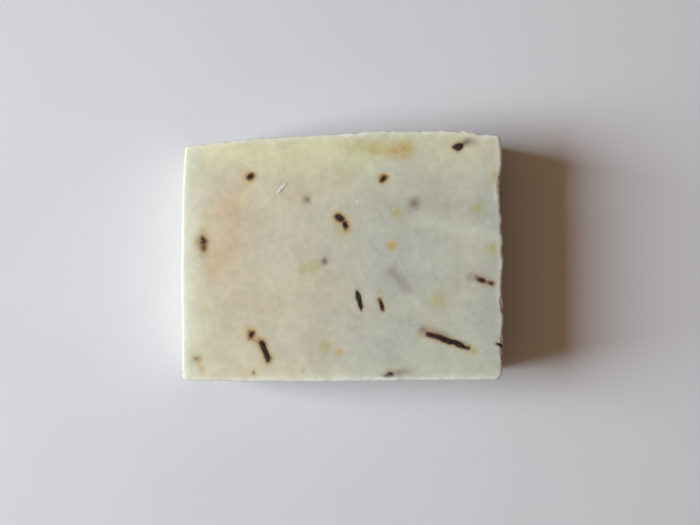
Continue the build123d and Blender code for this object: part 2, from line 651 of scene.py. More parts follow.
    def gloss(self, paint: Paint) -> bpy.types.NodeSocket:
        """How rough the waxy skin is: less where it is rubbed, and more where it is dry.

        Args:
            paint: The material.

        Returns:
            The roughness.
        """
        rubbed = paint.mottle(self.rubbed_size, 3.0, 0.3)
        wax = paint.spread(rubbed, 0.0, 1.0, self.roughness - 0.07, self.roughness + 0.08)
        dry = paint.math("MULTIPLY", paint.mask("dry"), self.dry_roughness)
        return paint.math("ADD", wax, dry, clamp=True)

    def grain(self, paint: Paint) -> bpy.types.NodeSocket:
        """The fine unevenness of the skin.

        Args:
            paint: The material.

        Returns:
            The normal.
        """
        fine = paint.math("MULTIPLY", paint.mottle(self.grain_size, 3.0, 0.4), 0.35)
        raised = paint.math("ADD", fine, paint.mottle(self.wave_size, 2.0, 0.45))
        pits = paint.math("MULTIPLY", paint.specks(self.pit_spacing, 0.16, 0.3), 1.6)
        height = paint.math("SUBTRACT", raised, pits)
        return paint.bump(height, self.grain_strength, self.grain_height)


@dataclass(frozen=True)
class CrumbFinish:
    """Loose dry soap: paler and duller than the bar."""

    colour: Colour = (0.76, 0.77, 0.71)
    shaded: Colour = (0.68, 0.69, 0.60)
    tone_size: float = 0.8 * MM
    roughness: float = 0.7
    see_through: float = 0.5
    scatter: tuple[float, float, float] = (1.0, 0.86, 0.62)
    scatter_depth: float = 0.6 * MM

    def make(self, effects: SharedEffects) -> bpy.types.Material:
        """Builds the material.

        Args:
            effects: The shared shader groups.

        Returns:
            The material.
        """
        paint = Paint("soap_crumb", effects)
        tone = paint.mottle(self.tone_size, 2.0, 0.3)
        return paint.dressed(
            {
                "Base Color": paint.blend(tone, self.colour, self.shaded),
                "Roughness": self.roughness,
                "Subsurface Weight": self.see_through,
                "Subsurface Radius": self.scatter,
                "Subsurface Scale": self.scatter_depth,
            }
        )


@dataclass(frozen=True)
class HerbFinish:
    """Dried leaf soaked in soap: almost black, with brown ridges."""

    dark: Colour = (0.008, 0.004, 0.005)
    ridge: Colour = (0.050, 0.026, 0.026)
    worn: Colour = (0.16, 0.095, 0.06)
    streak_size: float = 0.45 * MM
    fleck_size: float = 0.8 * MM
    roughness: float = 0.5
    ridge_roughness: float = 0.75
    shine: float = 0.25
    ridge_strength: float = 0.7
    ridge_height: float = 0.06 * MM

    def make(self, effects: SharedEffects) -> bpy.types.Material:
        """Builds the material.

        Args:
            effects: The shared shader groups.

        Returns:
            The material.
        """
        paint = Paint("dried_herb", effects)
        values = {
            "Vector": paint.place,
            "Scale": 1 / self.streak_size,
            "Detail": 3.0,
            "Distortion": 0.6,
        }
        streaks = paint.add("ShaderNodeTexNoise", values).outputs["Fac"]
        ridges = paint.spread(streaks, 0.42, 0.68)
        colour = paint.blend(ridges, self.dark, self.ridge)
        flecks = paint.mottle(self.fleck_size, 3.0, 0.12)
        tips = paint.spread(paint.mask("along"), 0.8, 1.0, 0.15, 0.6)
        colour = paint.blend(paint.math("MULTIPLY", flecks, tips), colour, self.worn)
        return paint.dressed(
            {
                "Base Color": colour,
                "Roughness": paint.spread(ridges, 0.0, 1.0, self.roughness, self.ridge_roughness),
                "Specular IOR Level": self.shine,
                "Normal": paint.bump(streaks, self.ridge_strength, self.ridge_height),
            }
        )


@dataclass(frozen=True)
class FloorFinish:
    """A plain pale matt floor."""

    colour: Colour = (0.685, 0.695, 0.73)
    shaded: Colour = (0.665, 0.675, 0.705)
    tone_size: float = 40 * MM
    roughness: float = 0.95
    shine: float = 0.2

    def make(self, effects: SharedEffects) -> bpy.types.Material:
        """Builds the material.

        Args:
            effects: The shared shader groups.

        Returns:
            The material.
        """
        paint = Paint("floor", effects)
        tone = paint.mottle(self.tone_size, 3.0, 0.35)
        return paint.dressed(
            {
                "Base Color": paint.blend(tone, self.colour, self.shaded),
                "Roughness": self.roughness,
                "Specular IOR Level": self.shine,
            }
        )


# ---------------------------------------------------------------------------------------------
# The faces of the bar, and the herbs as the frame has them
# ---------------------------------------------------------------------------------------------


class Face(Enum):
    """A face of the bar: its outward direction and the direction that reads as level on it."""

    TOP = ("top", (0, 0, 1), (1, 0, 0))
    UNDER = ("under", (0, 0, -1), (1, 0, 0))
    POURED = ("poured", (0, 1, 0), (-1, 0, 0))
    BASE = ("base", (0, -1, 0), (1, 0, 0))
    LINER = ("liner", (1, 0, 0), (0, 1, 0))
    HANDLED = ("handled", (-1, 0, 0), (0, -1, 0))

    @property
    def outward(self) -> np.ndarray:
        """The direction out of the bar."""
        return np.array(self.value[1], float)

    @property
    def level(self) -> np.ndarray:
        """The direction that reads as level on the face."""
        return np.array(self.value[2], float)

    @property
    def upright(self) -> np.ndarray:
        """The direction that reads as up on the face."""
        return np.cross(self.outward, self.level)

    @classmethod
    def of_node(cls, node: str) -> "Face":
        """The face that a herb's node name says it lies in."""
        second = node.split("_")[1]
        return next((face for face in cls if face.value[0] == second), cls.TOP)


@dataclass(frozen=True)
class BarBox:
    """The soap's box, read from the frame."""

    low: np.ndarray
    high: np.ndarray

    @classmethod
    def read(cls) -> "BarBox":
        """The box of the soap's node."""
        low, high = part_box(SOAP_NODE)
        return cls(np.array(low), np.array(high))

    @property
    def middle(self) -> np.ndarray:
        """The middle of the box."""
        return (self.low + self.high) / 2

    @property
    def half(self) -> np.ndarray:
        """Half of the box's length, width and height."""
        return (self.high - self.low) / 2

    def on_face(self, face: Face, across: float, up: float) -> np.ndarray:
        """A place on a face.

        Args:
            face: The face.
            across: How far along the face's level direction, from -1 to 1.
            up: How far along its upright direction, from -1 to 1.

        Returns:
            The place.
        """
        offset = face.outward + across * face.level + up * face.upright
        return self.middle + offset * self.half


@dataclass(frozen=True)
class HerbLook:
    """How a herb shows in the face that cuts it, and what it does to the soap round it.

    Attributes:
        core: The width that shows, as a share of the herb's whole width.
        length: The length that shows, as a share of the whole length.
        shift: Which part of the length shows, from -1 for the lower end to 1 for the upper one.
        deep: How far the whole herb lies under the skin, in half-widths.
        sink_low: How much further its lower end lies under.
        sink_high: How much further its upper end lies under.
        point: How pointed its ends are: 2 is round, and more is blunter.
        warm: How strong its brown halo is.
        reach: How far the halo reaches, in metres.
        dark: How dark the skin over it is, from 0 to 1.
        dark_reach: How far that darkness reaches, in metres.
    """

    core: float = 0.75
    length: float = 0.9
    shift: float = 0.0
    deep: float = 0.0
    sink_low: float = 0.1
    sink_high: float = 0.1
    point: float = 3.0
    warm: float = 0.55
    reach: float = 0.8 * MM
    dark: float = 1.0
    dark_reach: float = 0.24 * MM

    @classmethod
    def of_node(cls, node: str) -> "HerbLook":
        """Finds the look of a herb.

        Args:
            node: The herb's node.

        Returns:
            Its own look, or its kind's where it has none of its own.
        """
        name = node.removeprefix("herb_")
        if name in HERB_LOOKS:
            return HERB_LOOKS[name]
        kind = next((word for word in ("bud", "speck", "seed") if word in name), "")
        return HERB_LOOKS.get(kind, cls())

    def fitted(self, stations: np.ndarray) -> np.ndarray:
        """The stations of the part that shows.

        Args:
            stations: The whole herb's stations.

        Returns:
            Stations with the visible length, width and depth.
        """
        middle = (stations[0, 0] + stations[-1, 0]) / 2
        half = (stations[-1, 0] - stations[0, 0]) / 2
        run = np.linspace(-1, 1, len(stations))
        along = middle + half * (self.shift * (1 - self.length) + run * self.length)
        aside, width = (np.interp(along, stations[:, 0], stations[:, i]) for i in (1, 3))
        widest = float(stations[:, 3].max()) * self.core
        taper = np.sqrt(np.clip(1 - np.abs(run) ** self.point, 0, 1))
        sink = 0.25 + self.deep + self.sink_low * np.clip(-run, 0, 1) ** 1.6
        sink = sink + self.sink_high * np.clip(run, 0, 1) ** 1.6
        width = np.minimum(width * self.core, widest) * np.maximum(taper, 0.22)
        return np.stack([along, aside, stations[:, 2].max() - sink * widest, width], 1)

    def around(self, gap: np.ndarray) -> tuple[np.ndarray, np.ndarray]:
        """What the herb does to the soap at some distances from it.

        Args:
            gap: Distances from the herb's surface.

        Returns:
            The warm stain and the shadow at each distance.
        """
        away = np.clip(gap, 0, None)
        dark = self.dark * np.exp(-((away / self.dark_reach) ** 1.2))
        grey = 0.45 * self.dark * np.exp(-((away / (3 * self.dark_reach)) ** 1.5))
        return self.warm * np.exp(-away / self.reach), np.maximum(dark, grey)


HERB_LOOKS = {
    "needle_long": HerbLook(
        0.66, 1.0, sink_high=1.35, point=6.0, warm=0.6, reach=0.7 * MM, dark_reach=0.32 * MM
    ),
    "needle_upright": HerbLook(0.8, 0.95, sink_high=0.3, warm=0.3, reach=0.4 * MM),
    "needle_short": HerbLook(0.9, 0.9, deep=0.42, warm=0.9, reach=0.35 * MM, dark=0.85),
    "needle_bent": HerbLook(0.74, 1.0, sink_low=0.0, sink_high=0.6, point=5.0, warm=0.75),
    "needle_right": HerbLook(
        0.74, 1.0, deep=1.0, sink_low=0.0, sink_high=1.3, warm=0.75, reach=0.5 * MM, dark_reach=0.55 * MM
    ),
    "needle_base_edge": HerbLook(
        0.9, 0.9, -0.2, deep=0.85, sink_high=0.9, point=4.0, warm=0.35, dark_reach=0.42 * MM
    ),
    "needle_through_side": HerbLook(0.65, 0.9, warm=0.4),
    "leaf_left": HerbLook(
        0.8, 0.9, 0.2, deep=0.9, sink_low=0.7, point=2.5, warm=0.9, reach=0.9 * MM, dark_reach=0.5 * MM
    ),
    "bud_corner": HerbLook(0.8, 0.48, -0.85, sink_high=0.6, point=2.4, warm=0.6, reach=0.6 * MM),
    "bud_upper_left": HerbLook(0.48, 0.5, point=2.0, warm=1.15, reach=0.7 * MM),
    "bud_upper_middle": HerbLook(0.46, 0.5, point=2.0, warm=1.15, reach=0.7 * MM),
    "bud_centre": HerbLook(0.7, 0.74, point=2.2, warm=0.95, reach=0.75 * MM),
    "tip_centre": HerbLook(0.72, 0.95, sink_low=0.0, sink_high=0.0, warm=1.0, reach=0.7 * MM),
    "tip_lower_left": HerbLook(0.66, 0.8, sink_low=0.3, warm=1.15, reach=0.8 * MM),
    "speck_left_corner": HerbLook(0.5, 0.5, deep=1.6, point=2.0, warm=0.6, dark=0.9, dark_reach=0.4 * MM),
    "speck_base": HerbLook(0.55, 0.6, deep=1.0, point=2.0, warm=0.5, dark=0.6),
    "speck_right": HerbLook(0.5, 0.5, deep=1.4, point=2.0, warm=0.8, dark=0.6),
    "bud": HerbLook(0.6, 0.64, point=2.1, warm=1.05, reach=0.75 * MM),
    "speck": HerbLook(0.6, 0.65, deep=0.3, point=2.0, warm=0.8),
    "seed": HerbLook(0.75, 0.8, point=2.2, warm=0.8),
}


# How many places measure a herb.
SAMPLES = 9000


@dataclass
class HerbShape:
    """A herb's size and place, measured on its node in the frame.

    Attributes:
        node: The node's name.
        face: The face that it lies in.
        origin: A place on that face, from which the stations are measured.
        long: The direction along the piece.
        stations: Middle (along, aside and out of the face) and half-width at each place.
    """

    node: str
    face: Face
    origin: np.ndarray
    long: np.ndarray
    stations: np.ndarray

    station_count = 9
    flatness = 0.8

    @classmethod
    def read(cls, node: str, bar: BarBox) -> "HerbShape":
        """Measures a herb's node.

        Args:
            node: The node's name.
            bar: The soap's box.

        Returns:
            The herb's shape.
        """
        face = Face.of_node(node)
        points = cls.sampled(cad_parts[node].data)
        origin = (points.min(0) + points.max(0)) / 2
        flat = np.abs(face.outward) > 0.5
        origin[flat] = bar.on_face(face, 0, 0)[flat]
        along, aside = (points - origin) @ face.level, (points - origin) @ face.upright
        turns = np.linspace(0, math.pi, 90, endpoint=False)
        widths = [np.ptp(along * math.cos(t) + aside * math.sin(t)) for t in turns]
        best = turns[int(np.argmax(widths))]
        long = face.level * math.cos(best) + face.upright * math.sin(best)
        shape = cls(node, face, origin, long, np.empty((0, 4)))
        shape.stations = HerbLook.of_node(node).fitted(shape.measured(points))
        return shape

    @staticmethod
    def sampled(mesh: bpy.types.Mesh) -> np.ndarray:
        """Picks places spread evenly over a mesh.

        Args:
            mesh: A mesh of triangles.

        Returns:
            A place in each row.
        """
        mesh.calc_loop_triangles()
        corners = np.array([t.vertices for t in mesh.loop_triangles])
        co = places(mesh)[corners]
        area = np.linalg.norm(np.cross(co[:, 1] - co[:, 0], co[:, 2] - co[:, 0]), axis=1)
        random = np.random.default_rng(4)
        chosen = random.choice(len(co), SAMPLES, p=area / area.sum())
        first, second = np.sqrt(random.random(SAMPLES)), random.random(SAMPLES)
        share = np.stack([1 - first, first * (1 - second), first * second], 1)
        return (co[chosen] * share[:, :, None]).sum(1)

    @property
    def side(self) -> np.ndarray:
        """The direction across the piece, level with the face."""
        return np.cross(self.face.outward, self.long)

    @property
    def axes(self) -> np.ndarray:
        """The piece's own three directions, one in each row."""
        return np.stack([self.long, self.side, self.face.outward])

    def measured(self, points: np.ndarray) -> np.ndarray:
        """The piece's middle and half-width at places along it.

        Args:
            points: Places on the node's surface.

        Returns:
            A row for each place: along, aside, how far its top lies out of the face, half-width.
        """
        own = (points - self.origin) @ self.axes.T
        low, high = own[:, 0].min(), own[:, 0].max()
        slab = (high - low) / (self.station_count - 1)
        rows = []
        for at in np.linspace(low, high, self.station_count):
            near = own[np.abs(own[:, 0] - at) < 0.4 * slab]
            half = max(np.ptp(near[:, 1]) / 2, 0.1 * MM)
            middle = (near[:, 1].max() + near[:, 1].min()) / 2
            rows.append((at, middle, near[:, 2].max(), half))
        return np.array(rows)

    def placed(self, own: np.ndarray) -> np.ndarray:
        """Places given in the piece's own directions, in the frame."""
        return self.origin + own @ self.axes

    def gap_from(self, points: np.ndarray) -> np.ndarray:
        """How far places lie from the piece's surface.

        Args:
            points: Places, one in each row.

        Returns:
            The distance for each place, less than 0 inside the piece.
        """
        line = self.placed(self.stations[:, :3])
        best = np.full(len(points), np.inf)
        for index in range(len(line) - 1):
            half = self.stations[index : index + 2, 3].mean()
            gap = distance_to_line(points, line[index], line[index + 1]) - half
            best = np.minimum(best, gap)
        return best


# ---------------------------------------------------------------------------------------------
# Marks that the herbs leave in the soap
# ---------------------------------------------------------------------------------------------


class Tint(Enum):
    """What a mark does to the soap's colour: the name of the mask that it adds to."""

    WARM = "warm"
    OLIVE = "olive"
    SHADOW = "shadow"
    RIPE = "ripe"
    TAN = "tan"
    # Paler streaks, with painted light: a glow at the lamp-side end, and glints.
    BLEACHED = "bleached"


@dataclass(frozen=True)
class Mark:
    """A soft mark in a face: a stain, the shadow of a herb that lies inside, a paler patch, or a painted
    glint.

    Attributes:
        tint: What the mark does.
        start: One end, as shares of half the face's length and width.
        end: Its other end.
        radius: How far it reaches, in metres.
        strength: How strong it is in its middle.
        face: The face that it lies in.
    """

    tint: Tint
    start: tuple[float, float]
    end: tuple[float, float]
    radius: float
    strength: float
    face: Face = Face.TOP

    def amount(self, points: np.ndarray, bar: BarBox) -> np.ndarray:
        """How strong the mark is at some places.

        Args:
            points: Places, one in each row.
            bar: The soap's box.

        Returns:
            A strength for each place.
        """
        start = bar.on_face(self.face, *self.start)
        end = bar.on_face(self.face, *self.end)
        away = distance_to_line(points, start, end) / self.radius
        return self.strength * np.exp(-(away**2))


def spot(tint: Tint, across: float, up: float, radius_mm: float, strength: float) -> Mark:
    """A round mark in the upper face."""
    return Mark(tint, (across, up), (across, up), radius_mm * MM, strength)


def streak(
    tint: Tint,
    start: tuple[float, float],
    end: tuple[float, float],
    radius_mm: float,
    strength: float,
) -> Mark:
    """A long mark in the upper face."""
    return Mark(tint, start, end, radius_mm * MM, strength)


MARKS = (
    # Orange and brown stains.
    spot(Tint.WARM, 0.39, 0.845, 2.7, 0.46),
    spot(Tint.WARM, 0.3, 0.825, 2.3, 0.32),
    spot(Tint.WARM, 0.2, 0.85, 2.1, 0.32),
    spot(Tint.WARM, 0.1, 0.865, 2.4, 0.2),
    spot(Tint.WARM, 0.304, 0.083, 1.3, 0.7),
    spot(Tint.WARM, 0.962, 0.634, 1.3, 0.8),
    spot(Tint.WARM, 0.229, -0.28, 0.7, 0.5),
    spot(Tint.WARM, -0.023, -0.763, 1.3, 0.42),
    spot(Tint.WARM, -0.116, -0.708, 1.9, 0.26),
    spot(Tint.WARM, -0.247, -0.911, 0.7, 0.42),
    streak(Tint.WARM, (-0.9, -0.82), (-0.86, -0.93), 1.0, 0.3),
    spot(Tint.WARM, -0.885, -0.80, 1.0, 0.25),
    spot(Tint.WARM, 0.812, -0.76, 1.0, 0.42),
    streak(Tint.WARM, (-0.86, 0.2), (-0.87, 0.0), 1.5, 0.28),
    streak(Tint.WARM, (-0.6, 0.68), (-0.62, 0.6), 1.6, 0.14),
    streak(Tint.WARM, (-0.54, -0.68), (-0.47, -0.83), 1.5, 0.22),
    spot(Tint.WARM, 0.6, -0.62, 2.6, 0.1),
    spot(Tint.WARM, -0.03, 0.25, 2.0, 0.16),
    # Yellow and olive stains.
    spot(Tint.OLIVE, 0.333, 0.348, 1.5, 1.0),
    spot(Tint.OLIVE, 0.834, 0.378, 1.5, 1.0),
    spot(Tint.OLIVE, 0.933, 0.048, 1.5, 1.0),
    streak(Tint.OLIVE, (-0.24, -0.11), (-0.17, -0.08), 1.9, 0.7),
    spot(Tint.OLIVE, 0.595, -0.354, 2.3, 0.65),
    spot(Tint.OLIVE, -0.983, 0.203, 0.9, 0.6),
    streak(Tint.OLIVE, (0.0, 0.9), (0.2, 0.84), 2.4, 0.3),
    spot(Tint.OLIVE, 0.01, 0.64, 3.2, 0.22),
    spot(Tint.OLIVE, -0.10, -0.73, 1.6, 0.55),
    spot(Tint.OLIVE, -0.01, 0.19, 2.0, 0.3),
    # Herbs under the skin.
    spot(Tint.SHADOW, -0.222, 0.446, 1.3, 0.66),
    spot(Tint.WARM, -0.222, 0.446, 1.4, 0.32),
    spot(Tint.SHADOW, 0.446, 0.418, 1.7, 0.5),
    streak(Tint.SHADOW, (0.44, 0.4), (0.66, 0.38), 2.4, 0.18),
    spot(Tint.SHADOW, 0.40, 0.34, 1.6, 0.16),
    spot(Tint.SHADOW, -0.108, -0.046, 1.2, 0.75),
    spot(Tint.WARM, -0.108, -0.046, 1.3, 0.2),
    spot(Tint.SHADOW, 0.31, -0.125, 2.0, 0.46),
    streak(Tint.SHADOW, (0.36, -0.2), (0.40, -0.26), 1.9, 0.38),
    spot(Tint.WARM, 0.43, -0.28, 1.1, 0.12),
    spot(Tint.SHADOW, 0.34, -0.935, 1.3, 0.5),
    spot(Tint.SHADOW, 0.385, -0.925, 1.4, 0.38),
    spot(Tint.SHADOW, 0.43, -0.92, 1.5, 0.2),
    spot(Tint.SHADOW, 0.76, 0.893, 1.3, 0.58),
    spot(Tint.SHADOW, 0.8, 0.91, 1.5, 0.36),
    spot(Tint.SHADOW, 0.84, 0.9, 1.8, 0.14),
    spot(Tint.SHADOW, -0.54, -0.66, 1.1, 0.4),
    spot(Tint.SHADOW, 0.5, -0.585, 1.6, 0.62),
    spot(Tint.WARM, 0.53, -0.565, 1.5, 0.24),
    streak(Tint.SHADOW, (0.57, -0.6), (0.66, -0.64), 1.3, 0.42),
    spot(Tint.SHADOW, 0.79, -0.16, 1.7, 0.46),
    spot(Tint.SHADOW, -0.9, -0.81, 0.9, 0.5),
    spot(Tint.SHADOW, -0.7, -0.8, 1.4, 0.12),
    streak(Tint.SHADOW, (-0.86, 0.03), (-0.85, -0.02), 1.2, 0.25),
    # Riper, yellower soap.
    streak(Tint.RIPE, (-0.9, 0.85), (0.1, 0.95), 7.5, 0.95),
    streak(Tint.RIPE, (-0.3, 0.75), (0.1, 0.7), 6.0, 0.35),
    streak(Tint.RIPE, (0.1, 0.97), (0.75, 0.93), 6.5, 0.95),
    streak(Tint.RIPE, (-0.86, 0.3), (-0.84, -0.9), 4.0, 0.45),
    streak(Tint.RIPE, (-0.7, -0.97), (0.9, -0.95), 4.0, 0.45),
    spot(Tint.RIPE, 0.62, -0.8, 7.0, 0.4),
    # Soap that the herbs have turned tan.
    streak(Tint.TAN, (-0.72, 0.35), (-0.74, 0.05), 6.0, 0.95),
    spot(Tint.TAN, -0.8, -0.1, 4.0, 0.45),
    spot(Tint.TAN, -0.3, 0.5, 6.0, 0.3),
    spot(Tint.TAN, -0.65, 0.5, 4.0, 0.25),
    spot(Tint.TAN, -0.1, -0.2, 5.0, 0.25),
    streak(Tint.TAN, (-0.8, -0.3), (-0.3, -0.35), 7.0, 0.2),
    # Paler streaks and smears, and two painted glints.
    streak(Tint.BLEACHED, (0.5, 0.27), (0.96, 0.17), 1.3, 0.28),
    streak(Tint.BLEACHED, (0.84, -0.955), (0.96, -0.93), 1.2, 0.6),
    # Two painted glints where soap skin covers the bent needle: painted highlights.
    spot(Tint.BLEACHED, -0.545, -0.655, 0.5, 0.7),
    spot(Tint.BLEACHED, -0.51, -0.69, 0.4, 0.5),
    spot(Tint.BLEACHED, 0.9, 0.274, 0.5, 0.6),
    spot(Tint.BLEACHED, 0.972, -0.222, 0.6, 0.7),
    streak(Tint.BLEACHED, (-0.2, 0.985), (-0.08, 0.99), 0.8, 0.6),
    streak(Tint.BLEACHED, (-0.84, 0.89), (-0.8, 0.92), 0.7, 0.45),
)


def hidden_marks(seed: int) -> list[Mark]:
    """Marks for the faces other than the upper one.

    Args:
        seed: Picks their places.

    Returns:
        The marks.
    """
    random = np.random.default_rng(seed)
    counts = {Face.UNDER: 16, Face.POURED: 7, Face.BASE: 6, Face.LINER: 5, Face.HANDLED: 5}
    tints = (Tint.WARM, Tint.OLIVE, Tint.SHADOW)
    marks = []
    for face, count in counts.items():
        for index in range(count):
            across, up = random.uniform(-0.92, 0.92, 2)
            run = random.uniform(-0.05, 0.05, 2)
            radius = random.uniform(0.9, 2.2) * MM
            strength = random.uniform(0.18, 0.4)
            tint = tints[index % len(tints)]
            end = (across + run[0], up + run[1])
            marks.append(Mark(tint, (across, up), end, radius, strength, face))
    return marks


# ---------------------------------------------------------------------------------------------
# The soap
# ---------------------------------------------------------------------------------------------


@dataclass
class Outline:
    """The bar's outline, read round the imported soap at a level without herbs.

    Attributes:
        points: Places round the outline, anticlockwise.
        corners: The index of the place in the middle of each corner, anticlockwise from the
            corner at the least X and Y.
    """

    points: np.ndarray
    corners: list[int]

    ray_count = 2400
    level = 3.2 * MM

    @classmethod
    def read(cls, bar: BarBox) -> "Outline":
        """Finds the outline with rays that point at the bar's middle.

        Args:
            bar: The soap's box.

        Returns:
            The outline.
        """
        surface = surface_of(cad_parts[SOAP_NODE].data)
        reach = 2 * float(np.linalg.norm(bar.half))
        found = []
        for turn in np.linspace(-math.pi, math.pi, cls.ray_count, endpoint=False):
            way = Vector((math.cos(turn), math.sin(turn), 0.0))
            start = Vector((bar.middle[0], bar.middle[1], cls.level)) + way * reach
            hit = surface.ray_cast(start, -way)[0]
            found.append((hit.x, hit.y))
        points = np.array(found)
        signs = ((-1, -1), (1, -1), (1, 1), (-1, 1))
        scaled = (points - bar.middle[:2]) / bar.half[:2]
        corners = [int(np.argmax(scaled @ np.array(sign))) for sign in signs]
        return cls(points, corners)

    def side(self, number: int, steps: np.ndarray) -> np.ndarray:
        """Places along one side.

        Args:
            number: Which side, anticlockwise from the one at the least Y.
            steps: How far along each place is, from 0 to 1.

        Returns:
            The places, in the order of the steps.
        """
        first, last = self.corners[number], self.corners[(number + 1) % 4]
        if last <= first:
            last += len(self.points)
        line = self.points[np.arange(first, last + 1) % len(self.points)]
        runs = np.linalg.norm(np.diff(line, axis=0), axis=1)
        length = np.concatenate([[0], np.cumsum(runs)]) / runs.sum()
        return np.stack([np.interp(steps, length, line[:, axis]) for axis in (0, 1)], 1)


def graded(count: int, crowding: float) -> np.ndarray:
    """Steps from 0 to 1 that lie closer together at both ends.

    Args:
        count: How many steps.
        crowding: 0 for even steps, up to nearly 1 for the most crowded.

    Returns:
        The count + 1 places.
    """
    even = np.linspace(0, 1, count + 1)
    return (1 - crowding) * even + crowding * (0.5 - 0.5 * np.cos(math.pi * even))


@dataclass
class SoapBody:
    """The bar itself: a closed skin of even quads with rounded rims and a hand-cut surface."""

    cells_long: int = 204
    cells_wide: int = 160
    cells_high: int = 42
    crowding: float = 0.3
    crowding_high: float = 0.5
    rim_radius: float = 0.9 * MM
    handled_rim_radius: float = 0.5 * MM
    handled_slope: float = 0.42 * MM
    handled_reach: float = 3.0 * MM
    # How far the painted glow at the lamp-side end reaches.
    painted_glow_reach: float = 4.2 * MM
    face_wave: float = 0.11 * MM
    ridge_height: float = 0.16 * MM
    side_wave: float = 0.22 * MM
    chip_depth: float = 0.6 * MM
    chip_reach: float = 1.5 * MM
    chip_drag: float = 8 * MM
    pit_count: int = 90
    chart_gap: float = 2 * MM

    def build(self, bar: BarBox, herbs: list[HerbShape], finish: bpy.types.Material) -> bpy.types.Object:
        """Builds and dresses the soap.

        Args:
            bar: The soap's box.
            herbs: The herbs that stain it.
            finish: The soap's material.

        Returns:
            The soap.
        """
        mesh, outline = self.sharp_block(bar)
        points = places(mesh)
        points, normals, edge = self.round_rims(points, bar, outline)
        points = self.cut_by_hand(points, normals, edge, bar)
        points = self.worn_end(points, bar)
        set_places(mesh, points)
        self.write_masks(mesh, points, normals, edge, bar, herbs)
        shade_smooth(mesh)
        mesh.materials.append(finish)
        soap = plain_object("soap_body", mesh)
        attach(soap, BODY)
        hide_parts(SOAP_NODE)
        return soap

    def sharp_block(self, bar: BarBox) -> tuple[bpy.types.Mesh, Outline]:
        """A block of quads with the bar's outline and sharp rims.

        Args:
            bar: The soap's box.

        Returns:
            The mesh, with its map for the finish, and the outline.
        """
        outline = Outline.read(bar)
        along = graded(self.cells_long, self.crowding)
        wide = graded(self.cells_wide, self.crowding)
        high = bar.low[2] + graded(self.cells_high, self.crowding_high) * (bar.high[2] - bar.low[2])
        plan = self.plan_grid(outline, along, wide)
        counts = (self.cells_long, self.cells_wide, self.cells_high)
        number = -np.ones([count + 1 for count in counts], int)
        shell = np.zeros_like(number, bool)
        for axis in range(3):
            for end in (0, -1):
                shell[tuple(end if a == axis else slice(None) for a in range(3))] = True
        index = np.argwhere(shell)
        number[shell] = np.arange(len(index))
        points = np.empty((len(index), 3))
        points[:, :2] = plan[index[:, 0], index[:, 1]]
        points[:, 2] = high[index[:, 2]]
        faces, charts = self.quads(number)
        mesh = bpy.data.meshes.new("soap_body")
        mesh.from_pydata(points.tolist(), [], faces.tolist())
        self.write_map(mesh, charts, bar)
        return mesh, outline

    @staticmethod
    def plan_grid(outline: Outline, along: np.ndarray, wide: np.ndarray) -> np.ndarray:
        """A grid of places that fills the outline.

        Args:
            outline: The bar's outline.
            along: Steps along the bar, from 0 to 1.
            wide: Steps across it.

        Returns:
            The place at each pair of steps.
        """
        near = outline.side(0, along)
        right = outline.side(1, wide)
        far = outline.side(2, 1 - along)
        left = outline.side(3, 1 - wide)
        u = along[:, None, None]
        v = wide[None, :, None]
        ruled = (1 - v) * near[:, None] + v * far[:, None]
        ruled = ruled + (1 - u) * left[None] + u * right[None]
        flat = (1 - u) * (1 - v) * near[0] + u * (1 - v) * near[-1]
        return ruled - flat - (1 - u) * v * far[0] - u * v * far[-1]

    @staticmethod
    def quads(number: np.ndarray) -> tuple[np.ndarray, list[tuple[Face, np.ndarray]]]:
        """The faces of the block, all pointing outwards.

        Args:
            number: The vertex at each step along, across and up.

        Returns:
            The faces, and for each face of the bar the place of each quad's corners in its chart.
        """
        layers = {
            Face.UNDER: number[:, :, 0].T,
            Face.TOP: number[:, :, -1],
            Face.BASE: number[:, 0, :],
            Face.POURED: number[:, -1, :].T,
            Face.HANDLED: number[0, :, :].T,
            Face.LINER: number[-1, :, :],
        }
        faces, charts = [], []
        for face, grid in layers.items():
            rows, columns = grid.shape[0] - 1, grid.shape[1] - 1
            loop = [grid[:-1, :-1], grid[1:, :-1], grid[1:, 1:], grid[:-1, 1:]]
            faces.append(np.stack([part.ravel() for part in loop], 1))
            i, j = np.meshgrid(np.arange(rows), np.arange(columns), indexing="ij")
            steps = [(i, j), (i + 1, j), (i + 1, j + 1), (i, j + 1)]
            at = [np.stack([a.ravel() / rows, b.ravel() / columns], 1) for a, b in steps]
            charts.append((face, np.stack(at, 1)))
        return np.concatenate(faces), charts

    def write_map(
        self, mesh: bpy.types.Mesh, charts: list[tuple[Face, np.ndarray]], bar: BarBox
    ) -> None:
        """Lays the bar's six faces side by side in one map.

        Args:
            mesh: The block.
            charts: The place of each quad's corners in its face.
            bar: The soap's box.
        """
        length, width, height = 2 * bar.half
        gap = self.chart_gap
        right = gap + length + gap
        spots = {
            Face.TOP: (gap, gap, length, width),
            Face.UNDER: (gap, 2 * gap + width, width, length),
            Face.BASE: (right, gap, length, height),
            Face.POURED: (right, 2 * gap + height, height, length),
            Face.LINER: (right + height + gap, 2 * gap + height, width, height),
            Face.HANDLED: (right + height + gap, 3 * gap + 2 * height, height, width),
        }
        whole = max(
            max(spot[0] + spot[2] for spot in spots.values()),
            max(spot[1] + spot[3] for spot in spots.values()),
        )
        whole += gap
        rows = []
        for face, at in charts:
            x, y, wide, tall = spots[face]
            rows.append((at * (wide, tall) + (x, y)) / whole)
        layer = mesh.uv_layers.new(name="OFBake")
        layer.uv.foreach_set("vector", np.concatenate(rows).astype(np.float32).ravel())

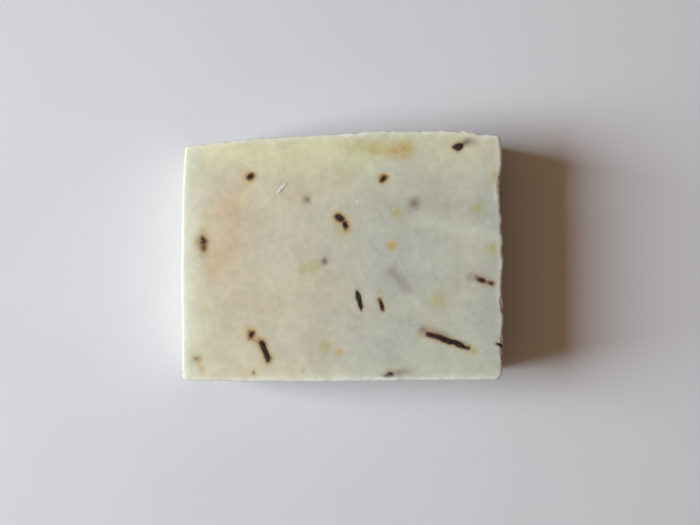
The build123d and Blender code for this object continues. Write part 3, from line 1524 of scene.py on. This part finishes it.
    def round_rims(
        self, points: np.ndarray, bar: BarBox, outline: Outline
    ) -> tuple[np.ndarray, np.ndarray, np.ndarray]:
        """Rounds the rims of the two cut faces.

        Args:
            points: The block's places.
            bar: The soap's box.
            outline: The bar's outline.

        Returns:
            The rounded places, the outward direction at each, and the distance of each from the
            nearest rim.
        """
        line = outline.points
        tree = BVHTree.FromPolygons(*self.wall(line))
        inside = np.empty(len(points))
        outward = np.zeros((len(points), 3))
        following = np.roll(line, -1, 0) - np.roll(line, 1, 0)
        wall_normal = np.stack([following[:, 1], -following[:, 0]], 1)
        wall_normal /= np.linalg.norm(wall_normal, axis=1)[:, None]
        for index, point in enumerate(points):
            hit, _, face, distance = tree.find_nearest(Vector((point[0], point[1], 0.0)))
            inside[index] = distance
            if distance > 1e-6:
                outward[index, :2] = (hit.x - point[0], hit.y - point[1])
                outward[index] /= distance
            else:
                outward[index, :2] = wall_normal[face]
        handled = smooth_step(-0.55, -0.92, points[:, 0] / bar.half[0])
        handled *= smooth_step(-0.2, -0.75, outward[:, 0])
        radius = self.rim_radius + (self.handled_rim_radius - self.rim_radius) * handled
        uneven = even_lumps(61, 7 * MM).at(points)
        radius = radius * (1 + 0.22 * uneven)
        drop = np.minimum(points[:, 2] - bar.low[2], bar.high[2] - points[:, 2])
        upward = np.where(points[:, 2] > bar.middle[2], 1.0, -1.0)
        level_part = np.clip(radius - inside, 0, None)
        upright_part = np.clip(radius - drop, 0, None)
        reach = np.hypot(level_part, upright_part)
        back = np.where(reach > radius, 1 - radius / np.maximum(reach, 1e-9), 0)
        moved = points - outward * (level_part * back)[:, None]
        moved[:, 2] -= upward * upright_part * back
        on_wall = inside < 1e-6
        on_cut = drop < 1e-6
        normals = outward * level_part[:, None]
        normals[:, 2] = upward * upright_part
        normals[on_wall & (upright_part <= 0)] = outward[on_wall & (upright_part <= 0)]
        flat = on_cut & (level_part <= 0)
        normals[flat] = 0
        normals[flat, 2] = upward[flat]
        normals /= np.maximum(np.linalg.norm(normals, axis=1), 1e-9)[:, None]
        return moved, normals, np.where(on_cut, inside, drop)

    @staticmethod
    def wall(line: np.ndarray) -> tuple[list, list]:
        """A thin upright band along the outline, for finding the nearest place on it.

        Args:
            line: Places round the outline.

        Returns:
            The band's places and faces.
        """
        count = len(line)
        level = 1 * MM
        points = [(x, y, -level) for x, y in line] + [(x, y, level) for x, y in line]
        faces = [(i, (i + 1) % count, count + (i + 1) % count, count + i) for i in range(count)]
        return points, faces

    def cut_by_hand(
        self, points: np.ndarray, normals: np.ndarray, edge: np.ndarray, bar: BarBox
    ) -> np.ndarray:
        """Gives the faces the unevenness of soap that was poured, cut and handled.

        Args:
            points: The places so far.
            normals: The outward direction at each.
            edge: The distance of each from the nearest rim.
            bar: The soap's box.

        Returns:
            The places, moved inwards by the depth of the unevenness.
        """
        cut = np.abs(normals[:, 2]) ** 2
        liner = np.clip(normals[:, 0], 0, 1) ** 2
        poured = np.clip(normals[:, 1], 0, 1) ** 2
        waves = hills(points, even_lumps(11, 19 * MM))
        ripples = hills(points, even_lumps(12, 6 * MM))
        small = hills(points, even_lumps(13, 1.7 * MM))
        depth = self.face_wave * (0.75 * waves + 0.3 * ripples + 0.12 * small) * cut
        depth = depth + self.ridge(points, bar) * cut * (normals[:, 2] > 0)
        smear = hills(points, Lumps(21, (3 * MM, 9 * MM, 5 * MM)))
        crease = 1 - np.abs(Lumps(22, (5 * MM, 5 * MM, 14 * MM)).at(points))
        crease = smooth_step(0.86, 1.0, crease)
        depth = depth + self.side_wave * (0.5 * smear + 0.15 * small) * (1 - cut)
        depth = depth + self.side_wave * crease * liner
        rough = hills(points, even_lumps(23, 2.6 * MM))
        depth = depth + self.side_wave * rough * poured
        depth = depth + self.chips(points, normals, edge)
        depth = depth + self.pits(points, bar)
        return points - normals * depth[:, None]

    def worn_end(self, points: np.ndarray, bar: BarBox) -> np.ndarray:
        """Lowers the upper face a little towards the end that was handled most.

        Args:
            points: The places so far.
            bar: The soap's box.

        Returns:
            The lowered places.
        """
        from_end = np.clip(points[:, 0] - bar.low[0], 0, None) / self.handled_reach
        height = np.clip((points[:, 2] - bar.middle[2]) / bar.half[2], 0, 1)
        worn = points.copy()
        worn[:, 2] -= self.handled_slope * np.exp(-(from_end**1.3)) * height**2
        return worn

    def ridge(self, points: np.ndarray, bar: BarBox) -> np.ndarray:
        """A shallow step that the cutting wire left across one end of the upper face.

        Args:
            points: The places so far.
            bar: The soap's box.

        Returns:
            How deep the step is at each place.
        """
        share = (points - bar.middle) / bar.half
        line = share[:, 1] - 0.36 + 0.16 * (share[:, 0] - 0.4) + 0.05 * np.sin(7 * share[:, 0])
        above = smooth_step(-0.02, 0.1, line) * smooth_step(0.75, 0.25, line)
        return self.ridge_height * above * smooth_step(0.3, 0.55, share[:, 0])

    def chips(self, points: np.ndarray, normals: np.ndarray, edge: np.ndarray) -> np.ndarray:
        """Small breaks along the rims, most of them where the liner was peeled away.

        Args:
            points: The places so far.
            normals: The outward direction at each.
            edge: The distance of each from the nearest rim.

        Returns:
            How deep the breaks are at each place.
        """
        on_cut = np.abs(normals[:, 2]) > 0.7
        dragged = np.exp(-((edge / self.chip_drag) ** 2))
        near = np.where(on_cut, smooth_step(self.chip_reach, 0.1 * MM, edge), dragged)
        coarse = smooth_step(0.25, 0.5, even_lumps(31, 2.6 * MM).at(points))
        fine = smooth_step(0.15, 0.6, even_lumps(32, 1.0 * MM).at(points))
        tilt = normals[:, 0] + 0.55 * normals[:, 1]
        share = 0.18 + 0.82 * smooth_step(0.05, 0.6, tilt)
        return self.chip_depth * near * share * (0.75 * coarse + 0.35 * fine)

    def pits(self, points: np.ndarray, bar: BarBox) -> np.ndarray:
        """Shallow round pits left by air in the poured soap, most of them in the sides.

        Args:
            points: The places so far.
            bar: The soap's box.

        Returns:
            How deep the pits are at each place.
        """
        random = np.random.default_rng(41)
        faces = (Face.POURED, Face.LINER, Face.POURED, Face.LINER, Face.UNDER, Face.BASE)
        depth = np.zeros(len(points))
        for index in range(self.pit_count):
            place = bar.on_face(faces[index % len(faces)], *random.uniform(-0.95, 0.95, 2))
            radius = random.uniform(0.35, 0.85) * MM
            away = np.linalg.norm(points - place, axis=1) / radius
            depth = np.maximum(depth, 0.3 * radius * smooth_step(1.15, 0.2, away))
        return depth

    def write_masks(
        self,
        mesh: bpy.types.Mesh,
        points: np.ndarray,
        normals: np.ndarray,
        edge: np.ndarray,
        bar: BarBox,
        herbs: list[HerbShape],
    ) -> None:
        """Stores where the soap is stained, shadowed, ripe, dry and greener, and where light and shade are
        painted into its colour.

        Args:
            mesh: The soap's mesh.
            points: Its places.
            normals: The outward direction at each.
            edge: The distance of each from the nearest rim.
            bar: The soap's box.
            herbs: The herbs that stain it.
        """
        wobble = np.stack([even_lumps(51 + axis, 1.3 * MM).at(points) for axis in range(3)], 1)
        shaken = points + 0.28 * MM * wobble
        masks = {tint: np.zeros(len(points)) for tint in Tint}
        for mark in (*MARKS, *hidden_marks(71)):
            masks[mark.tint] = masks[mark.tint] + mark.amount(shaken, bar)
        for herb in herbs:
            stain, shadow = HerbLook.of_node(herb.node).around(herb.gap_from(shaken))
            masks[Tint.WARM] = np.maximum(masks[Tint.WARM], stain)
            masks[Tint.SHADOW] = np.maximum(masks[Tint.SHADOW], shadow)
        share = (points - bar.middle) / bar.half
        # A pale band on the cut faces at the left end, where the window lamp shines in: painted light.
        from_end = (points[:, 0] - bar.low[0]) / self.painted_glow_reach
        level = np.abs(normals[:, 2])
        masks[Tint.BLEACHED] = masks[Tint.BLEACHED] + 0.85 * np.exp(-(from_end**1.6)) * level**3
        for tint, values in masks.items():
            write_mask(mesh, tint.value, np.clip(values, 0, 1.2))
        # Greener and darker towards the right, and less so towards +Y: the greener tint is the soap's own,
        # and the darkening away from the window lamp is painted shade.
        green_and_painted_shade = smooth_step(-0.6, 0.4, share[:, 0]) * (1 - 0.6 * smooth_step(0.3, 0.95, share[:, 1]))
        write_mask(mesh, "green_and_painted_shade", green_and_painted_shade)
        dry = self.dryness_and_rim_light(points, normals, edge)
        # Less pale on the walls that face the window lamp, and near the left end: painted shade that holds
        # back the lamp's brightness there.
        dry = dry * (1 - 0.75 * np.clip(-normals[:, 0], 0, 1))
        write_mask(mesh, "dry", dry * (1 - 0.8 * np.exp(-(from_end**2))))

    @staticmethod
    def dryness_and_rim_light(points: np.ndarray, normals: np.ndarray, edge: np.ndarray) -> np.ndarray:
        """How dry and pale the skin is: most at the rims, and some over the sides. At the rims the
        paleness is partly painted light, and it is wider on the right, where the rims face away from the
        lamp.

        Args:
            points: The soap's places.
            normals: The outward direction at each.
            edge: The distance of each from the nearest rim.

        Returns:
            A value from 0 to 1 for each place.
        """
        breath = hills(points, even_lumps(81, 4 * MM))
        width = 0.8 + 0.8 * breath + 0.4 * np.clip(normals[:, 0], 0, 1)
        rims = np.exp(-((edge / (width * MM)) ** 2))
        sides = (1 - np.abs(normals[:, 2])) * (0.2 + 0.3 * breath)
        return np.clip(np.maximum(1.1 * rims, sides), 0, 1)


# ---------------------------------------------------------------------------------------------
# The herbs
# ---------------------------------------------------------------------------------------------


# How fine a herb's two kinds of unevenness are along, across and through it, per metre.
WRINKLES = (160.0, 1500.0, 1500.0)
LUMPS = (520.0, 620.0, 620.0)


def herb_tree() -> bpy.types.NodeTree:
    """A dried herb along a line: a wrinkled rod with closed, blunt ends.

    Returns:
        The geometry tree. Its line's points store their half-width.
    """
    tree, given, result = new_group(
        "dried_herb_form",
        "GeometryNodeTree",
        {
            "Line": ("NodeSocketGeometry", None),
            "Steps Along": ("NodeSocketInt", 40),
            "Steps Round": ("NodeSocketInt", 22),
            "Flatness": ("NodeSocketFloat", 0.8),
            "Wrinkle Depth": ("NodeSocketFloat", 0.08 * MM),
            "Lump Depth": ("NodeSocketFloat", 0.1 * MM),
            "Seed": ("NodeSocketFloat", 0.0),
            "Finish": ("NodeSocketMaterial", None),
        },
        {"Herb": "NodeSocketGeometry"},
    )
    curve = tree.add("GeometryNodeMeshToCurve", {"Mesh": given["Line"]}).outputs["Curve"]
    curve = tree.add("GeometryNodeCurveSplineType", {"Curve": curve}, spline_type="CATMULL_ROM")
    curve = tree.add(
        "GeometryNodeResampleCurve", {"Curve": curve.outputs["Curve"], "Count": given["Steps Along"]}
    ).outputs["Curve"]
    place = tree.add("GeometryNodeInputPosition").outputs["Position"]
    curve = tree.store(curve, "middle", "FLOAT_VECTOR", place)
    run = tree.math("MULTIPLY", tree.add("GeometryNodeSplineParameter").outputs["Factor"], 2.0)
    from_middle = tree.math("ABSOLUTE", tree.math("SUBTRACT", run, 1.0))
    curve = tree.store(curve, "along", "FLOAT", from_middle)
    ring = tree.add(
        "GeometryNodeCurvePrimitiveCircle", {"Resolution": given["Steps Round"], "Radius": 1.0}
    ).outputs["Curve"]
    half_width = tree.stored("half_width", "FLOAT")
    form = tree.add(
        "GeometryNodeCurveToMesh",
        {"Curve": curve, "Profile Curve": ring, "Scale": half_width, "Fill Caps": True},
    ).outputs["Mesh"]
    form = flattened(tree, form, given["Flatness"])
    form = displaced(tree, form, WRINKLES, given["Wrinkle Depth"], given["Seed"])
    form = displaced(tree, form, LUMPS, given["Lump Depth"], given["Seed"])
    return finished(tree, form, given["Finish"], result["Herb"])


def flattened(
    tree: Tree, geometry: bpy.types.NodeSocket, flatness: bpy.types.NodeSocket
) -> bpy.types.NodeSocket:
    """Squeezes a rod towards its middle line, out of the face.

    Args:
        tree: The geometry tree.
        geometry: The rod, whose points store the middle that they lie round.
        flatness: The rod's thickness as a share of its width.

    Returns:
        The flattened rod.
    """
    middle = tree.stored("middle", "FLOAT_VECTOR")
    place = tree.add("GeometryNodeInputPosition").outputs["Position"]
    from_middle = tree.vector_math("SUBTRACT", place, middle)
    squeeze = tree.add("ShaderNodeCombineXYZ", {"X": 1.0, "Y": 1.0, "Z": flatness}).outputs["Vector"]
    squeezed = tree.vector_math("ADD", middle, tree.vector_math("MULTIPLY", from_middle, squeeze))
    moved = tree.add("GeometryNodeSetPosition", {"Geometry": geometry, "Position": squeezed})
    return moved.outputs["Geometry"]


def displaced(
    tree: Tree,
    geometry: bpy.types.NodeSocket,
    scale: tuple[float, float, float],
    depth: object,
    seed: object,
) -> bpy.types.NodeSocket:
    """Moves a surface in and out by a smooth noise.

    Args:
        tree: The geometry tree.
        geometry: The surface.
        scale: How fine the noise is along X, Y and Z, per metre.
        depth: How far it moves the surface, in metres.
        seed: Picks the noise.

    Returns:
        The moved surface.
    """
    place = tree.add("GeometryNodeInputPosition").outputs["Position"]
    values = {"Vector": tree.vector_math("MULTIPLY", place, scale), "W": seed, "Scale": 1.0, "Detail": 1.5}
    noise = tree.add("ShaderNodeTexNoise", values, noise_dimensions="4D").outputs["Fac"]
    centred = tree.math("MULTIPLY", tree.math("SUBTRACT", noise, 0.5), 2.0)
    normal = tree.add("GeometryNodeInputNormal").outputs["Normal"]
    move = tree.scaled(normal, tree.math("MULTIPLY", centred, depth))
    return tree.add("GeometryNodeSetPosition", {"Geometry": geometry, "Offset": move}).outputs["Geometry"]


def finished(
    tree: Tree,
    form: bpy.types.NodeSocket,
    finish: bpy.types.NodeSocket,
    result: bpy.types.NodeSocket,
) -> bpy.types.NodeTree:
    """Ends a geometry tree: makes its form smooth and real, and dresses it.

    Args:
        tree: The geometry tree.
        form: What it has made.
        finish: The material that it is given.
        result: The socket that takes the dressed form.

    Returns:
        The whole tree.
    """
    smooth = tree.add("GeometryNodeSetShadeSmooth", {"Geometry": form}).outputs["Geometry"]
    real = tree.add("GeometryNodeRealizeInstances", {"Geometry": smooth}).outputs["Geometry"]
    dressed = tree.add("GeometryNodeSetMaterial", {"Geometry": real, "Material": finish})
    tree.feed(result, dressed.outputs["Geometry"])
    return tree.tree


def add_node_modifier(
    target: bpy.types.Object, tree: bpy.types.NodeTree, values: dict[str, object]
) -> None:
    """Puts a geometry tree on an object.

    Args:
        target: The object.
        tree: The tree.
        values: The tree's inputs, by name.
    """
    modifier = target.modifiers.new(tree.name, "NODES")
    modifier.node_group = tree
    items = tree.interface.items_tree
    sockets = {item.name: item.identifier for item in items if item.in_out == "INPUT"}
    for name, value in values.items():
        modifier[sockets[name]] = value


@dataclass
class HerbPieces:
    """The pieces of dried herb, each set flush in the face that cuts it."""

    wrinkle_share: float = 0.09
    lump_share: float = 0.2
    proud: float = 0.03 * MM
    seed_step: float = 3.7

    def build(
        self, herbs: list[HerbShape], soap: bpy.types.Object, finish: bpy.types.Material
    ) -> list[bpy.types.Object]:
        """Builds and dresses every herb.

        Args:
            herbs: The herbs' shapes.
            soap: The finished soap.
            finish: The herbs' material.

        Returns:
            The herbs.
        """
        tree = herb_tree()
        surface = surface_of(soap.data)
        return [self.piece(herb, number, tree, surface, finish) for number, herb in enumerate(herbs)]

    def piece(
        self,
        herb: HerbShape,
        number: int,
        tree: bpy.types.NodeTree,
        surface: BVHTree,
        finish: bpy.types.Material,
    ) -> bpy.types.Object:
        """Builds one herb.

        Args:
            herb: Its shape.
            number: Its number, which picks its wrinkles.
            tree: The tree that makes a herb from a line.
            surface: The soap's surface.
            finish: Its material.

        Returns:
            The herb.
        """
        line = bpy.data.meshes.new("herb_line")
        edges = [(i, i + 1) for i in range(len(herb.stations) - 1)]
        line.from_pydata(herb.stations[:, :3].tolist(), edges, [])
        write_mask(line, "half_width", herb.stations[:, 3])
        widest = float(herb.stations[:, 3].max())
        source = plain_object("herb_line", line)
        values = {
            "Flatness": herb.flatness,
            "Wrinkle Depth": self.wrinkle_share * widest,
            "Lump Depth": self.lump_share * widest,
            "Seed": self.seed_step * number,
            "Finish": finish,
        }
        add_node_modifier(source, tree, values)
        made = baked_object(herb.node.replace("herb_", "dried_"), source)
        own = places(made.data)
        set_places(made.data, self.trimmed(herb.placed(own), surface))
        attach(made, BODY)
        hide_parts(herb.node)
        return made

    def trimmed(self, points: np.ndarray, surface: BVHTree) -> np.ndarray:
        """Brings what stands out of the soap back to just above its surface.

        Args:
            points: The herb's places.
            surface: The soap's surface.

        Returns:
            The trimmed places.
        """
        kept = points.copy()
        for index, point in enumerate(points):
            at, normal, _, _ = surface.find_nearest(Vector(point))
            out = (Vector(point) - at).dot(normal)
            if out > self.proud:
                kept[index] = at + normal * self.proud
        return kept


# ---------------------------------------------------------------------------------------------
# Crumbs
# ---------------------------------------------------------------------------------------------


def crumb_tree() -> bpy.types.NodeTree:
    """Small lumps scattered over a surface.

    Returns:
        The geometry tree. The surface's points store how many crumbs lie round them.
    """
    tree, given, result = new_group(
        "crumb_scatter",
        "GeometryNodeTree",
        {
            "Surface": ("NodeSocketGeometry", None),
            "Per Area": ("NodeSocketFloat", 1e5),
            "Smallest": ("NodeSocketFloat", 0.06 * MM),
            "Largest": ("NodeSocketFloat", 0.22 * MM),
            "Seed": ("NodeSocketInt", 5),
            "Finish": ("NodeSocketMaterial", None),
        },
        {"Crumbs": "NodeSocketGeometry"},
    )
    seed = given["Seed"]
    density = tree.math("MULTIPLY", tree.stored("crumbs", "FLOAT"), given["Per Area"])
    scatter = tree.add(
        "GeometryNodeDistributePointsOnFaces",
        {"Mesh": given["Surface"], "Density": density, "Seed": seed},
    ).outputs
    lump = tree.add("GeometryNodeMeshIcoSphere", {"Radius": 1.0, "Subdivisions": 2}).outputs["Mesh"]
    lump = displaced(tree, lump, (1.3, 1.3, 1.3), 0.45, 2.0)
    size = tree.random(given["Smallest"], given["Largest"], seed)
    stretch = tree.add(
        "FunctionNodeRandomValue",
        {0: (0.6, 0.6, 0.35), 1: (1.7, 1.2, 0.8), "Seed": seed},
        data_type="FLOAT_VECTOR",
    ).outputs[0]
    spin = tree.random(0.0, 2 * math.pi, seed)
    turn = tree.add("FunctionNodeAxisAngleToRotation", {"Axis": (0, 0, 1), "Angle": spin}).outputs[0]
    turned = tree.add(
        "FunctionNodeRotateRotation",
        {"Rotation": scatter["Rotation"], "Rotate By": turn},
        rotation_space="LOCAL",
    ).outputs[0]
    placed = tree.add(
        "GeometryNodeInstanceOnPoints",
        {
            "Points": scatter["Points"],
            "Instance": lump,
            "Rotation": turned,
            "Scale": tree.scaled(stretch, size),
        },
    ).outputs["Instances"]
    return finished(tree, placed, given["Finish"], result["Crumbs"])


@dataclass
class Crumbs:
    """Loose bits of dry soap: a scatter on the rims, and one thin shaving on the upper face."""

    per_area: float = 2.4e5
    shaving_start: tuple[float, float] = (-0.404, 0.492)
    shaving_end: tuple[float, float] = (-0.342, 0.578)
    shaving_width: float = 0.8 * MM
    shaving_height: float = 0.12 * MM
    shaving_bend: float = 0.12 * MM
    shaving_rings: int = 25
    shaving_sides: int = 12

    def build(
        self, bar: BarBox, soap: bpy.types.Object, finish: bpy.types.Material
    ) -> list[bpy.types.Object]:
        """Builds and dresses the crumbs and the shaving.

        Args:
            bar: The soap's box.
            soap: The finished soap.
            finish: Their material.

        Returns:
            The two pieces.
        """
        pieces = [self.scatter(bar, soap, finish), self.shaving(bar, soap, finish)]
        for piece in pieces:
            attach(piece, BODY)
        return pieces

    def scatter(
        self, bar: BarBox, soap: bpy.types.Object, finish: bpy.types.Material
    ) -> bpy.types.Object:
        """Scatters crumbs along the rims, and a few over the upper face.

        Args:
            bar: The soap's box.
            soap: The finished soap.
            finish: The crumbs' material.

        Returns:
            The crumbs, as one piece.
        """
        mesh = soap.data.copy()
        points = places(mesh)
        share = (points - bar.middle) / bar.half
        upper = smooth_step(0.8, 0.97, share[:, 2])
        rim = smooth_step(0.955, 0.985, np.max(np.abs(share[:, :2]), axis=1))
        peeled = smooth_step(0.93, 0.98, np.maximum(share[:, 0], share[:, 1]))
        patches = smooth_step(0.0, 0.6, even_lumps(91, 5 * MM).at(points))
        write_mask(mesh, "crumbs", upper * (0.03 + 0.25 * rim * patches + 1.0 * peeled * rim * patches))
        source = plain_object("crumb_source", mesh)
        add_node_modifier(source, crumb_tree(), {"Per Area": self.per_area, "Finish": finish})
        made = baked_object("soap_crumbs", source)
        kept = np.clip(places(made.data), bar.low, bar.high)
        set_places(made.data, kept)
        return made

    def shaving(
        self, bar: BarBox, soap: bpy.types.Object, finish: bpy.types.Material
    ) -> bpy.types.Object:
        """A thin curved shaving that lies on the upper face.

        Args:
            bar: The soap's box.
            soap: The finished soap.
            finish: The shaving's material.

        Returns:
            The shaving.
        """
        start = bar.on_face(Face.TOP, *self.shaving_start)
        end = bar.on_face(Face.TOP, *self.shaving_end)
        way = end - start
        side = np.cross((0, 0, 1), way / np.linalg.norm(way))
        surface = surface_of(soap.data)
        rings, around = self.shaving_rings, self.shaving_sides
        down = Vector((0, 0, -1))
        points, faces = [], []
        for step in np.linspace(0, 1, rings):
            full = math.sqrt(max(1 - (2 * step - 1) ** 4, 0.02))
            middle = start + way * step + side * self.shaving_bend * math.sin(math.pi * step)
            ground = surface.ray_cast(Vector((middle[0], middle[1], 2 * bar.high[2])), down)[0]
            for turn in np.linspace(0, 2 * math.pi, around, endpoint=False):
                lift = self.shaving_height * full * math.sin(turn)
                aside = self.shaving_width / 2 * full * math.cos(turn) * (1 + 0.15 * math.sin(4 * step))
                points.append((*(middle + side * aside)[:2], ground.z + lift))
        for ring in range(rings - 1):
            for turn in range(around):
                following = (turn + 1) % around
                first, second = ring * around, (ring + 1) * around
                faces.append((first + turn, first + following, second + following, second + turn))
        faces.append(tuple(reversed(range(around))))
        faces.append(tuple(range((rings - 1) * around, rings * around)))
        mesh = bpy.data.meshes.new("soap_shaving")
        mesh.from_pydata(points, [], faces)
        shade_smooth(mesh)
        mesh.materials.append(finish)
        return plain_object("soap_shaving", mesh)


# ---------------------------------------------------------------------------------------------
# Studio
# ---------------------------------------------------------------------------------------------


@dataclass(frozen=True)
class Lamp:
    """A soft rectangular lamp that faces the bar.

    Attributes:
        name: Its name.
        elevation: How high it hangs, in degrees above the floor.
        turn: Where it hangs round the bar, in degrees from +X.
        distance: How far it is from the bar, in metres.
        width: Its level side, in metres.
        height: Its other side, in metres.
        power: Its power, in watts.
        colour: Its colour.
    """

    name: str
    elevation: float
    turn: float
    distance: float
    width: float
    height: float
    power: float
    colour: Colour

    def build(self) -> None:
        """Hangs the lamp."""
        lamp = bpy.data.lights.new(self.name, "AREA")
        lamp.shape = "RECTANGLE"
        lamp.size = self.width
        lamp.size_y = self.height
        lamp.energy = self.power
        lamp.color = self.colour
        hung = bpy.data.objects.new(self.name, lamp)
        rise, turn = math.radians(self.elevation), math.radians(self.turn)
        level = math.cos(rise)
        way = Vector((level * math.cos(turn), level * math.sin(turn), math.sin(rise)))
        hung.location = way * self.distance
        hung.rotation_euler = way.to_track_quat("Z", "Y").to_euler()
        bpy.context.scene.collection.objects.link(hung)


@dataclass
class Studio:
    """The floor, a cool lamp at the left, a warm one above, a dim warm surround and the camera."""

    floor_size: float = 1.6
    camera_aside: float = 1.93 * MM
    camera_along: float = -1.73 * MM
    view_width: float = 179.9 * MM
    lens: float = 60.0
    sensor: float = 36.0
    nearest: float = 0.01
    lamps: tuple[Lamp, ...] = (
        Lamp("window", 34.0, 181.0, 1.2, 0.56, 0.83, 21.2, (0.825, 0.922, 1.0)),
        Lamp("ceiling", 72.0, 180.0, 1.0, 0.9, 0.9, 1.7, (1.0, 0.62, 0.33)),
    )
    surround: Colour = (1.0, 0.60, 0.36)
    surround_strength: float = 0.098

    def build(self, bar: BarBox, effects: SharedEffects) -> None:
        """Builds the studio.

        Args:
            bar: The soap's box.
            effects: The shared shader groups.
        """
        self.build_floor(effects)
        for lamp in self.lamps:
            lamp.build()
        self.build_surround()
        self.build_camera(bar)
        bpy.context.scene.view_settings.view_transform = "Standard"

    def build_floor(self, effects: SharedEffects) -> None:
        """Lays the floor under the bar.

        Args:
            effects: The shared shader groups.
        """
        half = self.floor_size / 2
        mesh = bpy.data.meshes.new("floor")
        corners = [(-half, -half, 0), (half, -half, 0), (half, half, 0), (-half, half, 0)]
        mesh.from_pydata(corners, [], [(0, 1, 2, 3)])
        mesh.materials.append(FloorFinish().make(effects))
        plain_object("floor", mesh)

    def build_surround(self) -> None:
        """Gives the room its dim warm light."""
        world = bpy.data.worlds.new("surround")
        world.use_nodes = True
        background = world.node_tree.nodes["Background"]
        background.inputs["Color"].default_value = solid(self.surround)
        background.inputs["Strength"].default_value = self.surround_strength
        bpy.context.scene.world = world

    def build_camera(self, bar: BarBox) -> None:
        """Points the camera straight down at the bar.

        Args:
            bar: The soap's box.
        """
        camera = bpy.data.cameras.new("camera")
        camera.lens = self.lens
        camera.sensor_width = self.sensor
        camera.clip_start = self.nearest
        held = bpy.data.objects.new("camera", camera)
        height = self.view_width * self.lens / self.sensor
        held.location = (self.camera_aside, self.camera_along, bar.high[2] + height)
        bpy.context.scene.collection.objects.link(held)
        bpy.context.scene.camera = held


# ---------------------------------------------------------------------------------------------
# The whole bar
# ---------------------------------------------------------------------------------------------


def main() -> None:
    """Builds the bar's looks and the studio round it."""
    logging.basicConfig(level=logging.INFO, format="%(name)s: %(message)s")
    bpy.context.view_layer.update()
    bar = BarBox.read()
    effects = SharedEffects()
    herbs = [HerbShape.read(node, bar) for node in sorted(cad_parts) if node != SOAP_NODE]
    soap = SoapBody().build(bar, herbs, SoapFinish().make(effects))
    log.info("%s: %d faces", soap.name, len(soap.data.polygons))
    for piece in HerbPieces().build(herbs, soap, HerbFinish().make(effects)):
        log.info("%s: %d faces", piece.name, len(piece.data.polygons))
    for piece in Crumbs().build(bar, soap, CrumbFinish().make(effects)):
        log.info("%s: %d faces", piece.name, len(piece.data.polygons))
    Studio().build(bar, effects)
    bpy.context.view_layer.update()


if __name__ == "__main__":
    main()
